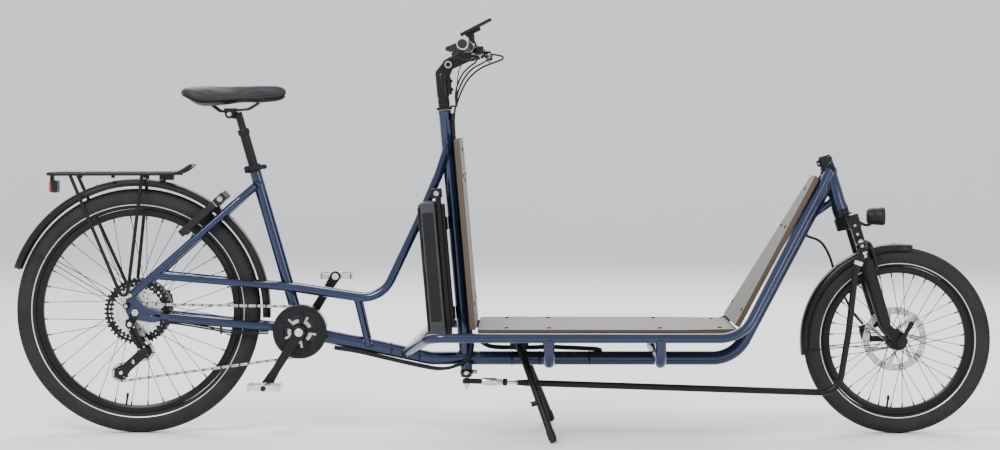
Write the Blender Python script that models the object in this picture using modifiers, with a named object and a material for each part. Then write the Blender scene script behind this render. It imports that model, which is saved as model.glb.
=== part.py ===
"""Cargo bicycle with a load deck ahead of the rider, built as separate sub-parts.

Metres, +Z up, +X forward, so the drive side (chain, cranks) is at -Y. The origin is on the ground, half way along the
bicycle. Named sub-parts are objects in the collection "cargo_bicycle"; shapes used only to cut or join are in "cutters".
"""

import math

import bmesh
import bpy
from mathutils import Matrix, Vector

GAP = 0.0003  # between pieces that touch
TO_MIDDLE = -0.0055  # moves the finished bicycle so that the origin is half way along it

# Wheels
REAR_AXLE = Vector((-1.0045, 0, 0.340))
FRONT_AXLE = Vector((1.1045, 0, 0.259))
TYRE_WIDTH = 0.055
REAR_RIM_INSIDE = 0.264
FRONT_RIM_INSIDE = 0.187
RIM_DEPTH = 0.0195
WHEEL_STEPS = 36
SPOKES = 32
ROTOR_RADIUS = 0.090

# Drive
BOTTOM_BRACKET = Vector((-0.552, 0, 0.286))
CRANK_DIRECTION = Vector((-0.0893, 0, -0.145)).normalized()
CRANK_LENGTH = 0.170
CHAINRING_PITCH_RADIUS = 0.0686
COG_PITCH_RADIUS = 0.0224
PULLEY_PITCH_RADIUS = 0.0235
CHAIN_HALF = 0.0038
GUIDE_PULLEY = Vector((-0.9795, -0.062, 0.2323))
TENSION_PULLEY = Vector((-1.0457, -0.062, 0.1725))
HANGER = Vector((-1.018, 0, 0.308))
FRONT_CHAIN_Y = -0.050
REAR_CHAIN_Y = -0.062

# Frame
SEAT_DIRECTION = Vector((-0.2765, 0, 0.9611)).normalized()
SEAT_TUBE_TOP = 0.474  # along the seat tube from the bottom bracket
COLUMN_BOTTOM = Vector((-0.0905, 0, 0.1678))
COLUMN_TOP = Vector((-0.1526, 0, 0.898))
COLUMN_LENGTH = (COLUMN_TOP - COLUMN_BOTTOM).length
COLUMN_AXIS = (COLUMN_TOP - COLUMN_BOTTOM).normalized()
HEAD_BOTTOM = Vector((0.9468, 0, 0.6195))
HEAD_AXIS = Vector((-0.0428, 0, 0.1389)).normalized()
HEAD_LENGTH = 0.118
MAIN_TUBE_RADIUS = 0.019
MAIN_TUBE_LEVEL = 0.2086
RAIL_RADIUS = 0.0130
RAIL_SPREAD = 0.260
RAIL_LEVEL = 0.2845
HOOP_RADIUS = 0.0145
HOOP_LEVEL = 0.2160
HOOP_PLACES = {"deck_hoop_rear": 0.136, "deck_hoop_front": 0.436}
SEAT_TUBE_RADIUS = 0.016
COLUMN_RADIUS = 0.017
STAY_RADIUS = 0.011

# Deck and panels
BOARD_THICKNESS = 0.015
DECK_TOP = 0.3065
PANEL_OFFSET = 0.032  # rear panel's middle ahead of the column's axis

# Cockpit
STEM_PIVOT = Vector((-0.1422, 0, 1.024))
BAR_CENTRE = Vector((-0.0795, 0, 1.054))
BAR_RADIUS = 0.0112
GRIP_RADIUS = 0.0155

# Fork and steering rod
LEG_OFFSET = 0.0192
LEG_SPREAD = 0.067
ROD_RADIUS = 0.0095
ROD_Y = -0.115
ROD_REAR = Vector((-0.0895, ROD_Y, 0.1555))

# Kickstand
STAND_PIVOT = Vector((0.055, 0, 0.250))
STAND_FOOT = Vector((0.150, 0.270, 0))
STAND_RADIUS = 0.010

# Battery, in the column's own directions
BATTERY_SIZE = Vector((0.050, 0.074, 0.368))
BATTERY_CENTRE = Vector((-0.0700, -0.066, 0.3015))  # forward, across, up from COLUMN_BOTTOM

SIDES = {"right": -1, "left": 1}


def forward_of(axis):
    """The direction square to a steering axis, forward in the bicycle's plane."""
    return Vector((axis.z, 0, -axis.x))


def at_column(up, forward=0.0, across=0.0):
    return COLUMN_BOTTOM + COLUMN_AXIS * up + forward_of(COLUMN_AXIS) * forward + Vector((0, across, 0))


def at_fork(up, forward=0.0, across=0.0):
    return HEAD_BOTTOM + HEAD_AXIS * up + forward_of(HEAD_AXIS) * forward + Vector((0, across, 0))


def at_seat(up, across=0.0):
    return BOTTOM_BRACKET + SEAT_DIRECTION * up + Vector((0, across, 0))


ROD_FRONT = at_fork(-0.1124, 0.0165, ROD_Y)


def clear_scene():
    for obj in list(bpy.data.objects):
        bpy.data.objects.remove(obj, do_unlink=True)


def collection(name):
    made = bpy.data.collections.new(name)
    bpy.context.scene.collection.children.link(made)
    return made


clear_scene()
BICYCLE = collection("cargo_bicycle")
CUTTERS = collection("cutters")


def material(name, colour, roughness, metallic=0.0):
    made = bpy.data.materials.new(name)
    made.use_nodes = True
    shader = made.node_tree.nodes["Principled BSDF"]
    shader.inputs["Base Color"].default_value = (*colour, 1.0)
    shader.inputs["Roughness"].default_value = roughness
    shader.inputs["Metallic"].default_value = metallic
    return made


FRAME_BLUE = material("frame_blue", (0.022, 0.050, 0.130), 0.28, 0.6)
SATIN_BLACK = material("satin_black", (0.018, 0.018, 0.020), 0.42, 0.2)
PLASTIC_BLACK = material("plastic_black", (0.025, 0.025, 0.027), 0.55)
RUBBER = material("rubber", (0.030, 0.030, 0.032), 0.85)
SILVER = material("silver", (0.72, 0.72, 0.73), 0.30, 1.0)
BOARD_GREY = material("board_grey", (0.56, 0.53, 0.47), 0.75)
SADDLE_SKIN = material("saddle_skin", (0.035, 0.035, 0.038), 0.60)
LAMP = material("lamp", (0.05, 0.05, 0.055), 0.25)


def place(name, mesh, look=None, where=None):
    """A new object from a mesh: a sub-part, or a cutter when it has no material."""
    obj = bpy.data.objects.new(name, mesh)
    (CUTTERS if look is None else BICYCLE).objects.link(obj)
    if where is not None:
        obj.matrix_world = where
    if look is None:
        obj.hide_render = True
        obj.display_type = "WIRE"
    else:
        mesh.materials.append(look)
    return obj


def smooth(mesh, angle=40):
    mesh.shade_smooth()
    mesh.set_sharp_from_angle(angle=math.radians(angle))


def facing(centre, axis):
    """The matrix that puts local Z along an axis, at a centre."""
    return Matrix.Translation(centre) @ axis.to_track_quat("Z", "Y").to_matrix().to_4x4()


def across_y(centre, turn=0.0):
    """The matrix that stands local XY up in the XZ plane, with local Z along -Y, turned about that axis."""
    return Matrix.Translation(centre) @ Matrix.Rotation(math.pi / 2, 4, "X") @ Matrix.Rotation(turn, 4, "Z")


def bent(points, radius, steps=3):
    """A polyline's points with each corner rounded; radius is one value, or one for each corner."""
    made = [points[0]]
    for i in range(1, len(points) - 1):
        back = (points[i - 1] - points[i]).normalized()
        ahead = (points[i + 1] - points[i]).normalized()
        bend = radius[i - 1] if isinstance(radius, (list, tuple)) else radius
        half = back.angle(ahead) / 2
        cut = bend / math.tan(half)
        centre = points[i] + (back + ahead).normalized() * (bend / math.sin(half))
        start = points[i] + back * cut - centre
        end = points[i] + ahead * cut - centre
        sweep = start.angle(end)
        for k in range(steps + 1):
            share = k / steps
            arm = (start * math.sin((1 - share) * sweep) + end * math.sin(share * sweep)) / math.sin(sweep)
            made.append(centre + arm)
    made.append(points[-1])
    return made


def tube(name, points, radius, look=None, resolution=3, cyclic=False, radii=None):
    """A round tube along points, as a closed mesh; radii scales it at each point."""
    data = bpy.data.curves.new(name, "CURVE")
    data.dimensions = "3D"
    data.bevel_depth = radius
    data.bevel_resolution = resolution
    data.use_fill_caps = not cyclic
    spline = data.splines.new("POLY")
    spline.points.add(len(points) - 1)
    for i, point in enumerate(points):
        spline.points[i].co = (*point, 1.0)
        spline.points[i].radius = 1.0 if radii is None else radii[i]
    spline.use_cyclic_u = cyclic
    guide = bpy.data.objects.new(name + "_guide", data)
    CUTTERS.objects.link(guide)
    mesh = bpy.data.meshes.new_from_object(guide.evaluated_get(bpy.context.evaluated_depsgraph_get()))
    mesh.name = name
    bpy.data.objects.remove(guide)
    shape = bmesh.new()
    shape.from_mesh(mesh)
    bmesh.ops.remove_doubles(shape, verts=shape.verts, dist=1e-6)
    bmesh.ops.recalc_face_normals(shape, faces=shape.faces)
    shape.to_mesh(mesh)
    shape.free()
    smooth(mesh)
    return place(name, mesh, look)


def cylinder(name, start, end, radius, look=None, sides=16, top_radius=None):
    mesh = bpy.data.meshes.new(name)
    shape = bmesh.new()
    bmesh.ops.create_cone(
        shape,
        cap_ends=True,
        segments=sides,
        radius1=radius,
        radius2=radius if top_radius is None else top_radius,
        depth=(end - start).length,
    )
    shape.to_mesh(mesh)
    shape.free()
    smooth(mesh)
    return place(name, mesh, look, facing((start + end) / 2, end - start))


def sleeve_cutter(name, start, end, radius, sides=16):
    """A cutter whose flats clear a round tube of this radius by the gap."""
    return cylinder(name, start, end, (radius + GAP) / math.cos(math.pi / sides) + 1e-4, sides=sides)


def block(name, centre, size, look=None, turn=None):
    mesh = bpy.data.meshes.new(name)
    shape = bmesh.new()
    bmesh.ops.create_cube(shape, size=1.0, matrix=Matrix.Diagonal((*size, 1.0)))
    shape.to_mesh(mesh)
    shape.free()
    where = Matrix.Translation(centre)
    if turn is not None:
        where = where @ turn
    return place(name, mesh, look, where)


def lean(axis):
    """The turn that takes world Z to an axis in the bicycle's plane."""
    return Matrix.Rotation(math.atan2(axis.x, axis.z), 4, "Y")


def turned(name, profile, where, look=None, steps=16, angle=2 * math.pi, closed=False):
    """A profile of (radius, height) turned about local Z, its outer side listed from top to bottom."""
    mesh = bpy.data.meshes.new(name)
    edges = [(i, i + 1) for i in range(len(profile) - 1)]
    if closed:
        edges.append((len(profile) - 1, 0))
    mesh.from_pydata([(radius, 0, height) for radius, height in profile], edges, [])
    obj = place(name, mesh, look, where)
    screw = obj.modifiers.new("Turn", "SCREW")
    screw.angle = angle
    screw.steps = steps
    screw.render_steps = steps
    screw.use_merge_vertices = True
    screw.merge_threshold = 1e-5
    screw.use_smooth_shade = True
    return obj


def turned_across(name, profile, centre, look=None, steps=20, turn=0.0, closed=False):
    """A profile of (y, radius) turned about an axis along Y, its outer side listed from -Y to +Y."""
    return turned(name, [(r, -y) for y, r in profile], across_y(centre, turn), look, steps, closed=closed)


def plate(name, outline, thickness, where, look=None):
    """A flat outline in local XY with this thickness along local Z."""
    data = bpy.data.curves.new(name, "CURVE")
    data.dimensions = "2D"
    data.fill_mode = "BOTH"
    data.extrude = thickness / 2
    spline = data.splines.new("POLY")
    spline.points.add(len(outline) - 1)
    for i, (x, y) in enumerate(outline):
        spline.points[i].co = (x, y, 0, 1)
    spline.use_cyclic_u = True
    guide = bpy.data.objects.new(name + "_guide", data)
    CUTTERS.objects.link(guide)
    mesh = bpy.data.meshes.new_from_object(guide.evaluated_get(bpy.context.evaluated_depsgraph_get()))
    mesh.name = name
    bpy.data.objects.remove(guide)
    shape = bmesh.new()
    shape.from_mesh(mesh)
    bmesh.ops.remove_doubles(shape, verts=shape.verts, dist=1e-6)
    bmesh.ops.recalc_face_normals(shape, faces=shape.faces)
    shape.to_mesh(mesh)
    shape.free()
    return place(name, mesh, look, where)


def arc(centre, radius, first, last, steps):
    """Points of an arc in a plane, with angles in degrees."""
    angles = [math.radians(first + (last - first) * i / steps) for i in range(steps + 1)]
    return [(centre[0] + radius * math.cos(a), centre[1] + radius * math.sin(a)) for a in angles]


def link_outline(start, end, start_radius, end_radius, steps=5):
    """The outline of a bar with two round ends, in the XZ plane, as (x, z)."""
    heading = math.degrees(math.atan2(end.z - start.z, end.x - start.x))
    return arc((end.x, end.z), end_radius, heading - 90, heading + 90, steps) + arc(
        (start.x, start.z), start_radius, heading + 90, heading + 270, steps
    )


def side_bar(name, start, end, radii, low_y, high_y, look=None):
    """A bar with round ends in the XZ plane, between two values of y."""
    middle = Vector((0, (low_y + high_y) / 2, 0))
    return plate(name, link_outline(start, end, *radii), high_y - low_y, across_y(middle), look)


def change(obj, tool, operation):
    modifier = obj.modifiers.new(tool.name[:40], "BOOLEAN")
    modifier.operation = operation
    modifier.solver = "EXACT"
    modifier.object = tool


def cut(obj, *tools):
    for tool in tools:
        change(obj, tool, "DIFFERENCE")


def join(obj, *tools):
    for tool in tools:
        change(obj, tool, "UNION")


def pivot(name, centre, *pieces):
    """An empty on a joint's axis, which carries the pieces that turn or slide there."""
    empty = bpy.data.objects.new(name, None)
    BICYCLE.objects.link(empty)
    empty.location = centre
    bpy.context.view_layer.update()
    for piece in pieces:
        piece.parent = empty
        piece.matrix_parent_inverse = empty.matrix_world.inverted()


def mirrored(point, side):
    return Vector((point.x, side * point.y, point.z))


# ---------------------------------------------------------------- frame

MAIN_TUBE_CORNERS = [
    Vector((-0.520, 0, 0.2757)),
    Vector((-0.3914, 0, 0.2511)),
    Vector((-0.192, 0, MAIN_TUBE_LEVEL)),
    Vector((0.6535, 0, MAIN_TUBE_LEVEL)),
    at_fork(0.0980),
]
SEAT_STAY = [Vector((-1.0144, 0.075, 0.3887)), Vector((-0.720, 0.0345, 0.650)), Vector((-0.680, 0.0125, 0.6855))]
CHAIN_STAY = [Vector((-0.915, 0.0700, 0.3245)), Vector((-0.700, 0.0435, 0.3035)), Vector((-0.590, 0.0240, 0.293))]
UPPER_TUBE = [
    Vector((-0.9560, 0.0680, 0.4412)),
    Vector((-0.660, 0.0435, 0.4143)),
    Vector((-0.612, 0.0290, 0.4100)),
    Vector((-0.560, 0.0290, 0.4042)),
    Vector((-0.328, 0.0290, 0.3700)),
    Vector((-0.2278, 0.0135, 0.5817)),
    Vector((-0.1690, 0.0135, 0.7190)),
    Vector((-0.1420, 0.0135, 0.7998)),
]
UPPER_TUBE_BENDS = [0.02, 0.02, 0.02, 0.085, 0.10, 0.10]


def motor_cutter(name):
    return sleeve_cutter(name, BOTTOM_BRACKET - Vector((0, 0.08, 0)), BOTTOM_BRACKET + Vector((0, 0.08, 0)), 0.066, 28)


def make_motor():
    profile = [(-0.040, 0.013), (-0.040, 0.060), (-0.034, 0.066), (0.044, 0.066), (0.050, 0.060), (0.050, 0.013)]
    turned_across("motor", profile, BOTTOM_BRACKET, PLASTIC_BLACK, 28, closed=True)


def make_main_tube(motor_space):
    points = bent(MAIN_TUBE_CORNERS, [0.30, 0.12, 0.10])
    main = tube("main_tube", points, MAIN_TUBE_RADIUS, FRAME_BLUE)
    cut(main, motor_space, sleeve_cutter("head_space", at_fork(-0.05), at_fork(0.17), 0.0232))
    cut(main, sleeve_cutter("column_space", at_column(-0.05), at_column(0.12), COLUMN_RADIUS))
    for name, x in HOOP_PLACES.items():
        start, end = Vector((x, -0.08, HOOP_LEVEL)), Vector((x, 0.08, HOOP_LEVEL))
        cut(main, sleeve_cutter(name + "_space", start, end, HOOP_RADIUS))


def make_head_tube():
    profile = [(0.0153, 0), (0.0153, HEAD_LENGTH), (0.0230, HEAD_LENGTH), (0.0230, 0.104), (0.0210, 0.101)]
    profile += [(0.0210, 0.017), (0.0230, 0.014), (0.0230, 0)]
    head = turned("head_tube", profile, facing(HEAD_BOTTOM, HEAD_AXIS), FRAME_BLUE, 16, closed=True)
    brace = cylinder("head_brace", at_fork(0.030, -0.018), Vector((0.8800, 0, 0.6140)), 0.0100)
    slope_space = sleeve_cutter("brace_space", Vector((0.6535, 0, MAIN_TUBE_LEVEL)), at_fork(0.0980), MAIN_TUBE_RADIUS)
    cut(brace, slope_space)
    join(head, brace)


def make_steering_tube():
    low, high = 0.0075, COLUMN_LENGTH
    profile = [(0.0135, low), (0.0135, high), (0.0185, high), (0.0185, high - 0.014), (COLUMN_RADIUS, high - 0.016)]
    profile += [(COLUMN_RADIUS, low)]
    turned("steering_tube", profile, facing(COLUMN_BOTTOM, COLUMN_AXIS), FRAME_BLUE, 16, closed=True)


def make_side_rails():
    head_space = sleeve_cutter("head_space_rails", at_fork(-0.02), at_fork(0.20), 0.0230)
    main_space = sleeve_cutter("main_space", Vector((-0.192, 0, 0.207)), Vector((-0.3914, 0, 0.2511)), 0.0192)
    slope_space = sleeve_cutter("slope_space", Vector((0.6535, 0, MAIN_TUBE_LEVEL)), at_fork(0.0980), MAIN_TUBE_RADIUS)
    for word, side in SIDES.items():
        corners = [
            Vector((-0.262, side * 0.010, 0.2215)),
            Vector((-0.186, side * RAIL_SPREAD, RAIL_LEVEL)),
            Vector((0.6545, side * RAIL_SPREAD, RAIL_LEVEL)),
            Vector((0.9140, side * 0.0230, 0.7305)),
        ]
        rail = tube(f"side_rail_{word}", bent(corners, [0.055, 0.10], 4), RAIL_RADIUS, FRAME_BLUE)
        cut(rail, head_space, main_space, slope_space)


def make_hoops():
    rail_spaces = [
        sleeve_cutter(
            f"rail_space_{word}",
            Vector((-0.05, side * RAIL_SPREAD, RAIL_LEVEL)),
            Vector((0.55, side * RAIL_SPREAD, RAIL_LEVEL)),
            RAIL_RADIUS,
        )
        for word, side in SIDES.items()
    ]
    for name, x in HOOP_PLACES.items():
        corners = [
            Vector((x, -RAIL_SPREAD, RAIL_LEVEL)),
            Vector((x, -RAIL_SPREAD, HOOP_LEVEL)),
            Vector((x, RAIL_SPREAD, HOOP_LEVEL)),
            Vector((x, RAIL_SPREAD, RAIL_LEVEL)),
        ]
        hoop = tube(name, bent(corners, 0.030), HOOP_RADIUS, FRAME_BLUE)
        cut(hoop, *rail_spaces)


def make_seat_tube(motor_space):
    seat = cylinder("seat_tube", at_seat(0.05), at_seat(SEAT_TUBE_TOP), SEAT_TUBE_RADIUS, FRAME_BLUE)
    join(seat, cylinder("seat_collar", at_seat(0.461), at_seat(0.479), 0.0195))
    cut(seat, motor_space, cylinder("seat_bore", at_seat(0.24), at_seat(0.51), 0.0140))


def make_upper_tubes(seat_space, column_space):
    for word, side in SIDES.items():
        points = bent([mirrored(p, side) for p in UPPER_TUBE], UPPER_TUBE_BENDS)
        widths = [0.80 if p.x < -0.615 else 1.0 for p in points]
        upper = tube(f"upper_tube_{word}", points, 0.0120, FRAME_BLUE, radii=widths)
        strut_top = Vector((-0.395, side * 0.029, 0.3800))
        strut_foot = Vector((-0.3640, side * 0.014, 0.2460))
        join(upper, cylinder(f"strut_{word}", strut_foot, strut_top, 0.0105, sides=12))
        stay_start, stay_end = mirrored(SEAT_STAY[0], side), mirrored(SEAT_STAY[1], side)
        cut(upper, sleeve_cutter(f"stay_space_{word}", stay_start, stay_end, STAY_RADIUS))
        main_space = sleeve_cutter(f"strut_main_space_{word}", Vector((-0.30, 0, 0.231)), Vector((-0.44, 0, 0.2604)), 0.0200)
        cut(upper, seat_space, column_space, main_space)


def make_stays(seat_space, motor_space):
    for word, side in SIDES.items():
        seat_stay = tube(
            f"seat_stay_{word}", bent([mirrored(p, side) for p in SEAT_STAY], 0.03, 3), STAY_RADIUS, FRAME_BLUE
        )
        cut(seat_stay, seat_space)
        stay = tube(f"chain_stay_{word}", bent([mirrored(p, side) for p in CHAIN_STAY], 0.05, 3), 0.012, FRAME_BLUE)
        outline = [(-0.910, 0.316), (-1.020, 0.322), (-1.032, 0.345), (-1.030, 0.376), (-0.998, 0.376), (-0.975, 0.352)]
        outline += [(-0.915, 0.334)]
        low, high = sorted((side * 0.0675, side * 0.0755))
        dropout = plate(f"dropout_{word}", outline, high - low, across_y(Vector((0, (low + high) / 2, 0))))
        join(stay, dropout)
        if word == "right":
            reach = Vector((0, 0.080, 0))
            join(stay, cylinder("rear_axle_rod", REAR_AXLE - reach, REAR_AXLE + Vector((0, 0.0665, 0)), 0.0062, sides=16))
        else:
            join(stay, block("rear_caliper", Vector((-0.934, 0.0624, 0.366)), (0.034, 0.0156, 0.074)))
        cut(stay, motor_space)


def make_frame():
    motor_space = motor_cutter("motor_space")
    seat_space = sleeve_cutter("seat_space", at_seat(0.05), at_seat(0.52), SEAT_TUBE_RADIUS)
    column_space = sleeve_cutter("column_space_upper", at_column(0.5), at_column(0.70), COLUMN_RADIUS)
    make_motor()
    make_main_tube(motor_space)
    make_head_tube()
    make_steering_tube()
    make_side_rails()
    make_hoops()
    make_seat_tube(motor_space)
    make_upper_tubes(seat_space, column_space)
    make_stays(seat_space, motor_space)


# ---------------------------------------------------------------- deck, panels, rack and fenders


def make_boards():
    rear, front = -0.057, 0.645
    outline = [(rear, -0.240), (0.50, -0.240), (front, -0.205), (front, 0.205), (0.50, 0.240), (rear, 0.240)]
    centre = Vector((0, 0, DECK_TOP - BOARD_THICKNESS / 2))
    plate("deck_board", outline, BOARD_THICKNESS, Matrix.Translation(centre), BOARD_GREY)
    top, bottom = 0.652, 0.1335
    outline = [(-0.225, bottom), (0.225, bottom)] + arc((0.175, top - 0.05), 0.05, 0, 90, 5)
    outline += arc((-0.175, top - 0.05), 0.05, 90, 180, 5)
    plate("rear_panel", outline, BOARD_THICKNESS, panel_place(at_column(0, PANEL_OFFSET), COLUMN_AXIS), BOARD_GREY)
    foot, head = Vector((0.6445, 0, 0.3130)), Vector((0.8770, 0, 0.7145))
    length = (head - foot).length
    outline = [(-0.205, 0), (0.205, 0), (0.205, 0.02)] + arc((0.030, length - 0.035), 0.035, 22, 90, 4)
    outline += arc((-0.030, length - 0.035), 0.035, 90, 158, 4) + [(-0.205, 0.02)]
    plate("front_panel", outline, BOARD_THICKNESS, panel_place(foot, (head - foot).normalized()), BOARD_GREY)


def panel_place(foot, up):
    """Local X across the bicycle, local Y up the panel, local Z square to it."""
    columns = Matrix((Vector((0, 1, 0)), up, Vector((0, 1, 0)).cross(up))).transposed()
    return Matrix.Translation(foot) @ columns.to_4x4()


def make_fender(name, axle, radius, half_width, first, last, steps):
    """A thin curved strip round a wheel; angles in degrees from +X towards +Z."""
    drops = {1: 0.018, 0.92: 0.0075, 0.5: 0.0015}
    profile = [(radius - drop, half_width * share) for share, drop in drops.items()]
    profile += [(r, -across) for r, across in reversed(profile)]
    where = across_y(axle, math.radians(first))
    fender = turned(name, profile, where, SATIN_BLACK, steps, math.radians(last - first))
    shell = fender.modifiers.new("Sheet", "SOLIDIFY")
    shell.thickness = 0.0022
    shell.offset = 0
    return fender


def make_rack():
    level, half, radius = 0.7215, 0.060, 0.005
    rear, front, lip = -1.249, -0.882, Vector((-0.8530, 0, 0.7450))
    loop = [Vector((rear, -half, level)), Vector((front - 0.012, -half, level)), Vector((front, -half, level + 0.003))]
    loop += [Vector((lip.x, -half + 0.01, lip.z))]
    loop += [mirrored(point, -1) for point in reversed(loop)]
    rack = tube("rack", loop, radius, SATIN_BLACK, 1, cyclic=True)
    foot = Vector((-1.0278, 0.092, 0.3547))
    for word, side in SIDES.items():
        points = [Vector((-1.186, side * half, level)), mirrored(foot, side), Vector((-0.986, side * half, level))]
        join(rack, tube(f"rack_leg_{word}", points, radius, None, 1))
    for i, x in enumerate((-1.165, -1.075, -0.985, -0.900)):
        join(rack, tube(f"rack_bar_{i}", [Vector((x, -half, level)), Vector((x, half, level))], 0.0045, None, 1))
    join(rack, block("fender_bracket", Vector((-0.9215, 0, 0.7130)), (0.053, 0.024, 0.017)))
    join(rack, block("tail_light_bracket", Vector((-1.2440, 0, 0.7100)), (0.010, 0.030, 0.026)))
    join(rack, block("tail_light", Vector((-1.2390, 0, 0.6860)), (0.024, 0.050, 0.034)))


def make_ring_lock():
    along = (SEAT_STAY[1] - SEAT_STAY[0]).normalized()
    along = Vector((along.x, 0, along.z)).normalized()
    centre = Vector((-0.799, 0, 0.629))
    leg = 0.112
    outline = arc((0, 0), 0.058, -90, 90, 8) + [(-leg, 0.058), (-leg, 0.037)]
    outline += arc((0, 0), 0.037, 90, -90, 8) + [(-leg, -0.037), (-leg, -0.058)]
    columns = Matrix((along, Vector((0, 1, 0)), along.cross(Vector((0, 1, 0))))).transposed()
    plate("ring_lock", outline, 0.022, Matrix.Translation(centre) @ columns.to_4x4(), PLASTIC_BLACK)


# ---------------------------------------------------------------- wheels and drive


def make_wheel(word, axle, radius, rim_inside, hub_profile, flanges):
    turn = math.pi / WHEEL_STEPS
    outside = radius / math.cos(turn)
    bead = rim_inside + RIM_DEPTH + 0.0015
    half = TYRE_WIDTH / 2
    middle = radius - half - 0.002
    tyre = [(-0.0125, bead), (-half, middle), (-0.0205, radius - 0.0095), (-0.010, outside), (0.010, outside)]
    tyre += [(0.0205, radius - 0.0095), (half, middle), (0.0125, bead)]
    turned_across(f"{word}_tyre", tyre, axle, RUBBER, WHEEL_STEPS, turn, closed=True)
    low, high = rim_inside, rim_inside + RIM_DEPTH
    rim = [(-0.006, low), (-0.0130, low + 0.008), (-0.0130, high), (0.0130, high), (0.0130, low + 0.008), (0.006, low)]
    turned_across(f"{word}_rim", rim, axle, SATIN_BLACK, WHEEL_STEPS, turn, closed=True)
    hub = turned_across(f"{word}_hub", hub_profile, axle, SILVER, 16, closed=True)
    mesh = bpy.data.meshes.new(f"{word}_spokes")
    spokes = bmesh.new()
    for i in range(SPOKES):
        angle = 2 * math.pi * (i + 0.5) / SPOKES
        outward = Vector((math.cos(angle), 0, math.sin(angle)))
        flange_y, flange_radius = flanges[i % 2]
        start = axle + outward * (flange_radius - 0.004) + Vector((0, flange_y, 0))
        end = axle + outward * (rim_inside - 0.0030)
        where = facing((start + end) / 2, end - start)
        length = (end - start).length
        bmesh.ops.create_cone(
            spokes, cap_ends=True, segments=4, radius1=0.0013, radius2=0.0013, depth=length, matrix=where
        )
    spokes.to_mesh(mesh)
    spokes.free()
    join(hub, place(f"{word}_spokes", mesh))
    return f"{word}_tyre", f"{word}_rim", f"{word}_hub"


def make_wheels():
    rear_hub = [(-0.0200, 0.0068), (-0.0200, 0.031), (-0.0165, 0.031), (-0.0165, 0.018), (0.0330, 0.018)]
    rear_hub += [(0.0330, 0.031), (0.0360, 0.031), (0.0360, 0.022), (0.0505, 0.022), (0.0505, ROTOR_RADIUS)]
    rear_hub += [(0.0525, ROTOR_RADIUS), (0.0525, 0.014), (0.0660, 0.014), (0.0660, 0.0068)]
    rear = make_wheel("rear", REAR_AXLE, 0.340, REAR_RIM_INSIDE, rear_hub, [(-0.0182, 0.031), (0.0345, 0.031)])
    pivot("rear_wheel_pivot", REAR_AXLE, *[bpy.data.objects[name] for name in rear])
    front_hub = [(-0.0490, 0.0068), (-0.0490, 0.012), (-0.0330, 0.014), (-0.0330, 0.026), (-0.0300, 0.026)]
    front_hub += [(-0.0300, 0.016), (0.0250, 0.016), (0.0250, 0.026), (0.0280, 0.026), (0.0280, 0.020)]
    front_hub += [(0.0405, 0.020), (0.0405, ROTOR_RADIUS), (0.0425, ROTOR_RADIUS), (0.0425, 0.012), (0.0490, 0.012)]
    front_hub += [(0.0490, 0.0068)]
    front = make_wheel("front", FRONT_AXLE, 0.259, FRONT_RIM_INSIDE, front_hub, [(-0.0315, 0.026), (0.0265, 0.026)])
    pivot("front_wheel_pivot", FRONT_AXLE, *[bpy.data.objects[name] for name in front])


def make_cassette():
    steps = [(-0.0645, 0.0172), (-0.0572, 0.034), (-0.0465, 0.052), (-0.0365, 0.072), (-0.0270, 0.0935)]
    profile = [(-0.0645, 0.0075), (-0.0645, 0.0172)]
    for i, (y, radius) in enumerate(steps[1:]):
        last = steps[i][1]
        profile += [(y, last), (y, radius)]
    profile += [(-0.0225, 0.0935), (-0.0225, 0.0075)]
    cassette = turned_across("cassette", profile, REAR_AXLE, SILVER, 22, closed=True)
    pivot("cassette_pivot", REAR_AXLE, cassette)


def belt(circles, steps_per_turn=20):
    """The path of a chain round circles of (centre, radius, sense); sense is 1 where it turns clockwise seen from -Y."""

    def right_of(way):
        return Vector((way.z, 0, -way.x))

    runs = []
    for i, (centre, radius, sense) in enumerate(circles):
        next_centre, next_radius, next_sense = circles[(i + 1) % len(circles)]
        across = Vector((next_centre.x - centre.x, 0, next_centre.z - centre.z))
        excess = next_sense * next_radius - sense * radius
        rise = excess / across.length
        line = across.normalized()
        way = line * math.sqrt(1 - rise * rise) - right_of(line) * rise
        side = right_of(way)
        runs.append((centre - side * sense * radius, next_centre - side * next_sense * next_radius))
    points = []
    for i, (centre, radius, sense) in enumerate(circles):
        arrive = runs[i - 1][1] - centre
        leave = runs[i][0] - centre
        start = math.atan2(arrive.z, arrive.x)
        sweep = (start - math.atan2(leave.z, leave.x)) % (2 * math.pi)
        if sense < 0:
            sweep -= 2 * math.pi
        count = max(2, round(abs(sweep) / (2 * math.pi) * steps_per_turn))
        for k in range(count + 1):
            angle = start - sweep * k / count
            points.append(centre + Vector((math.cos(angle), 0, math.sin(angle))) * radius)
    return points


def make_chain():
    front = Vector((BOTTOM_BRACKET.x, FRONT_CHAIN_Y, BOTTOM_BRACKET.z))
    rear = Vector((REAR_AXLE.x, REAR_CHAIN_Y, REAR_AXLE.z))
    circles = [
        (front, CHAINRING_PITCH_RADIUS, 1),
        (TENSION_PULLEY, PULLEY_PITCH_RADIUS, 1),
        (GUIDE_PULLEY, PULLEY_PITCH_RADIUS, -1),
        (rear, COG_PITCH_RADIUS, 1),
    ]
    tube("chain", belt(circles), CHAIN_HALF, SILVER, 0, cyclic=True)


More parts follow.
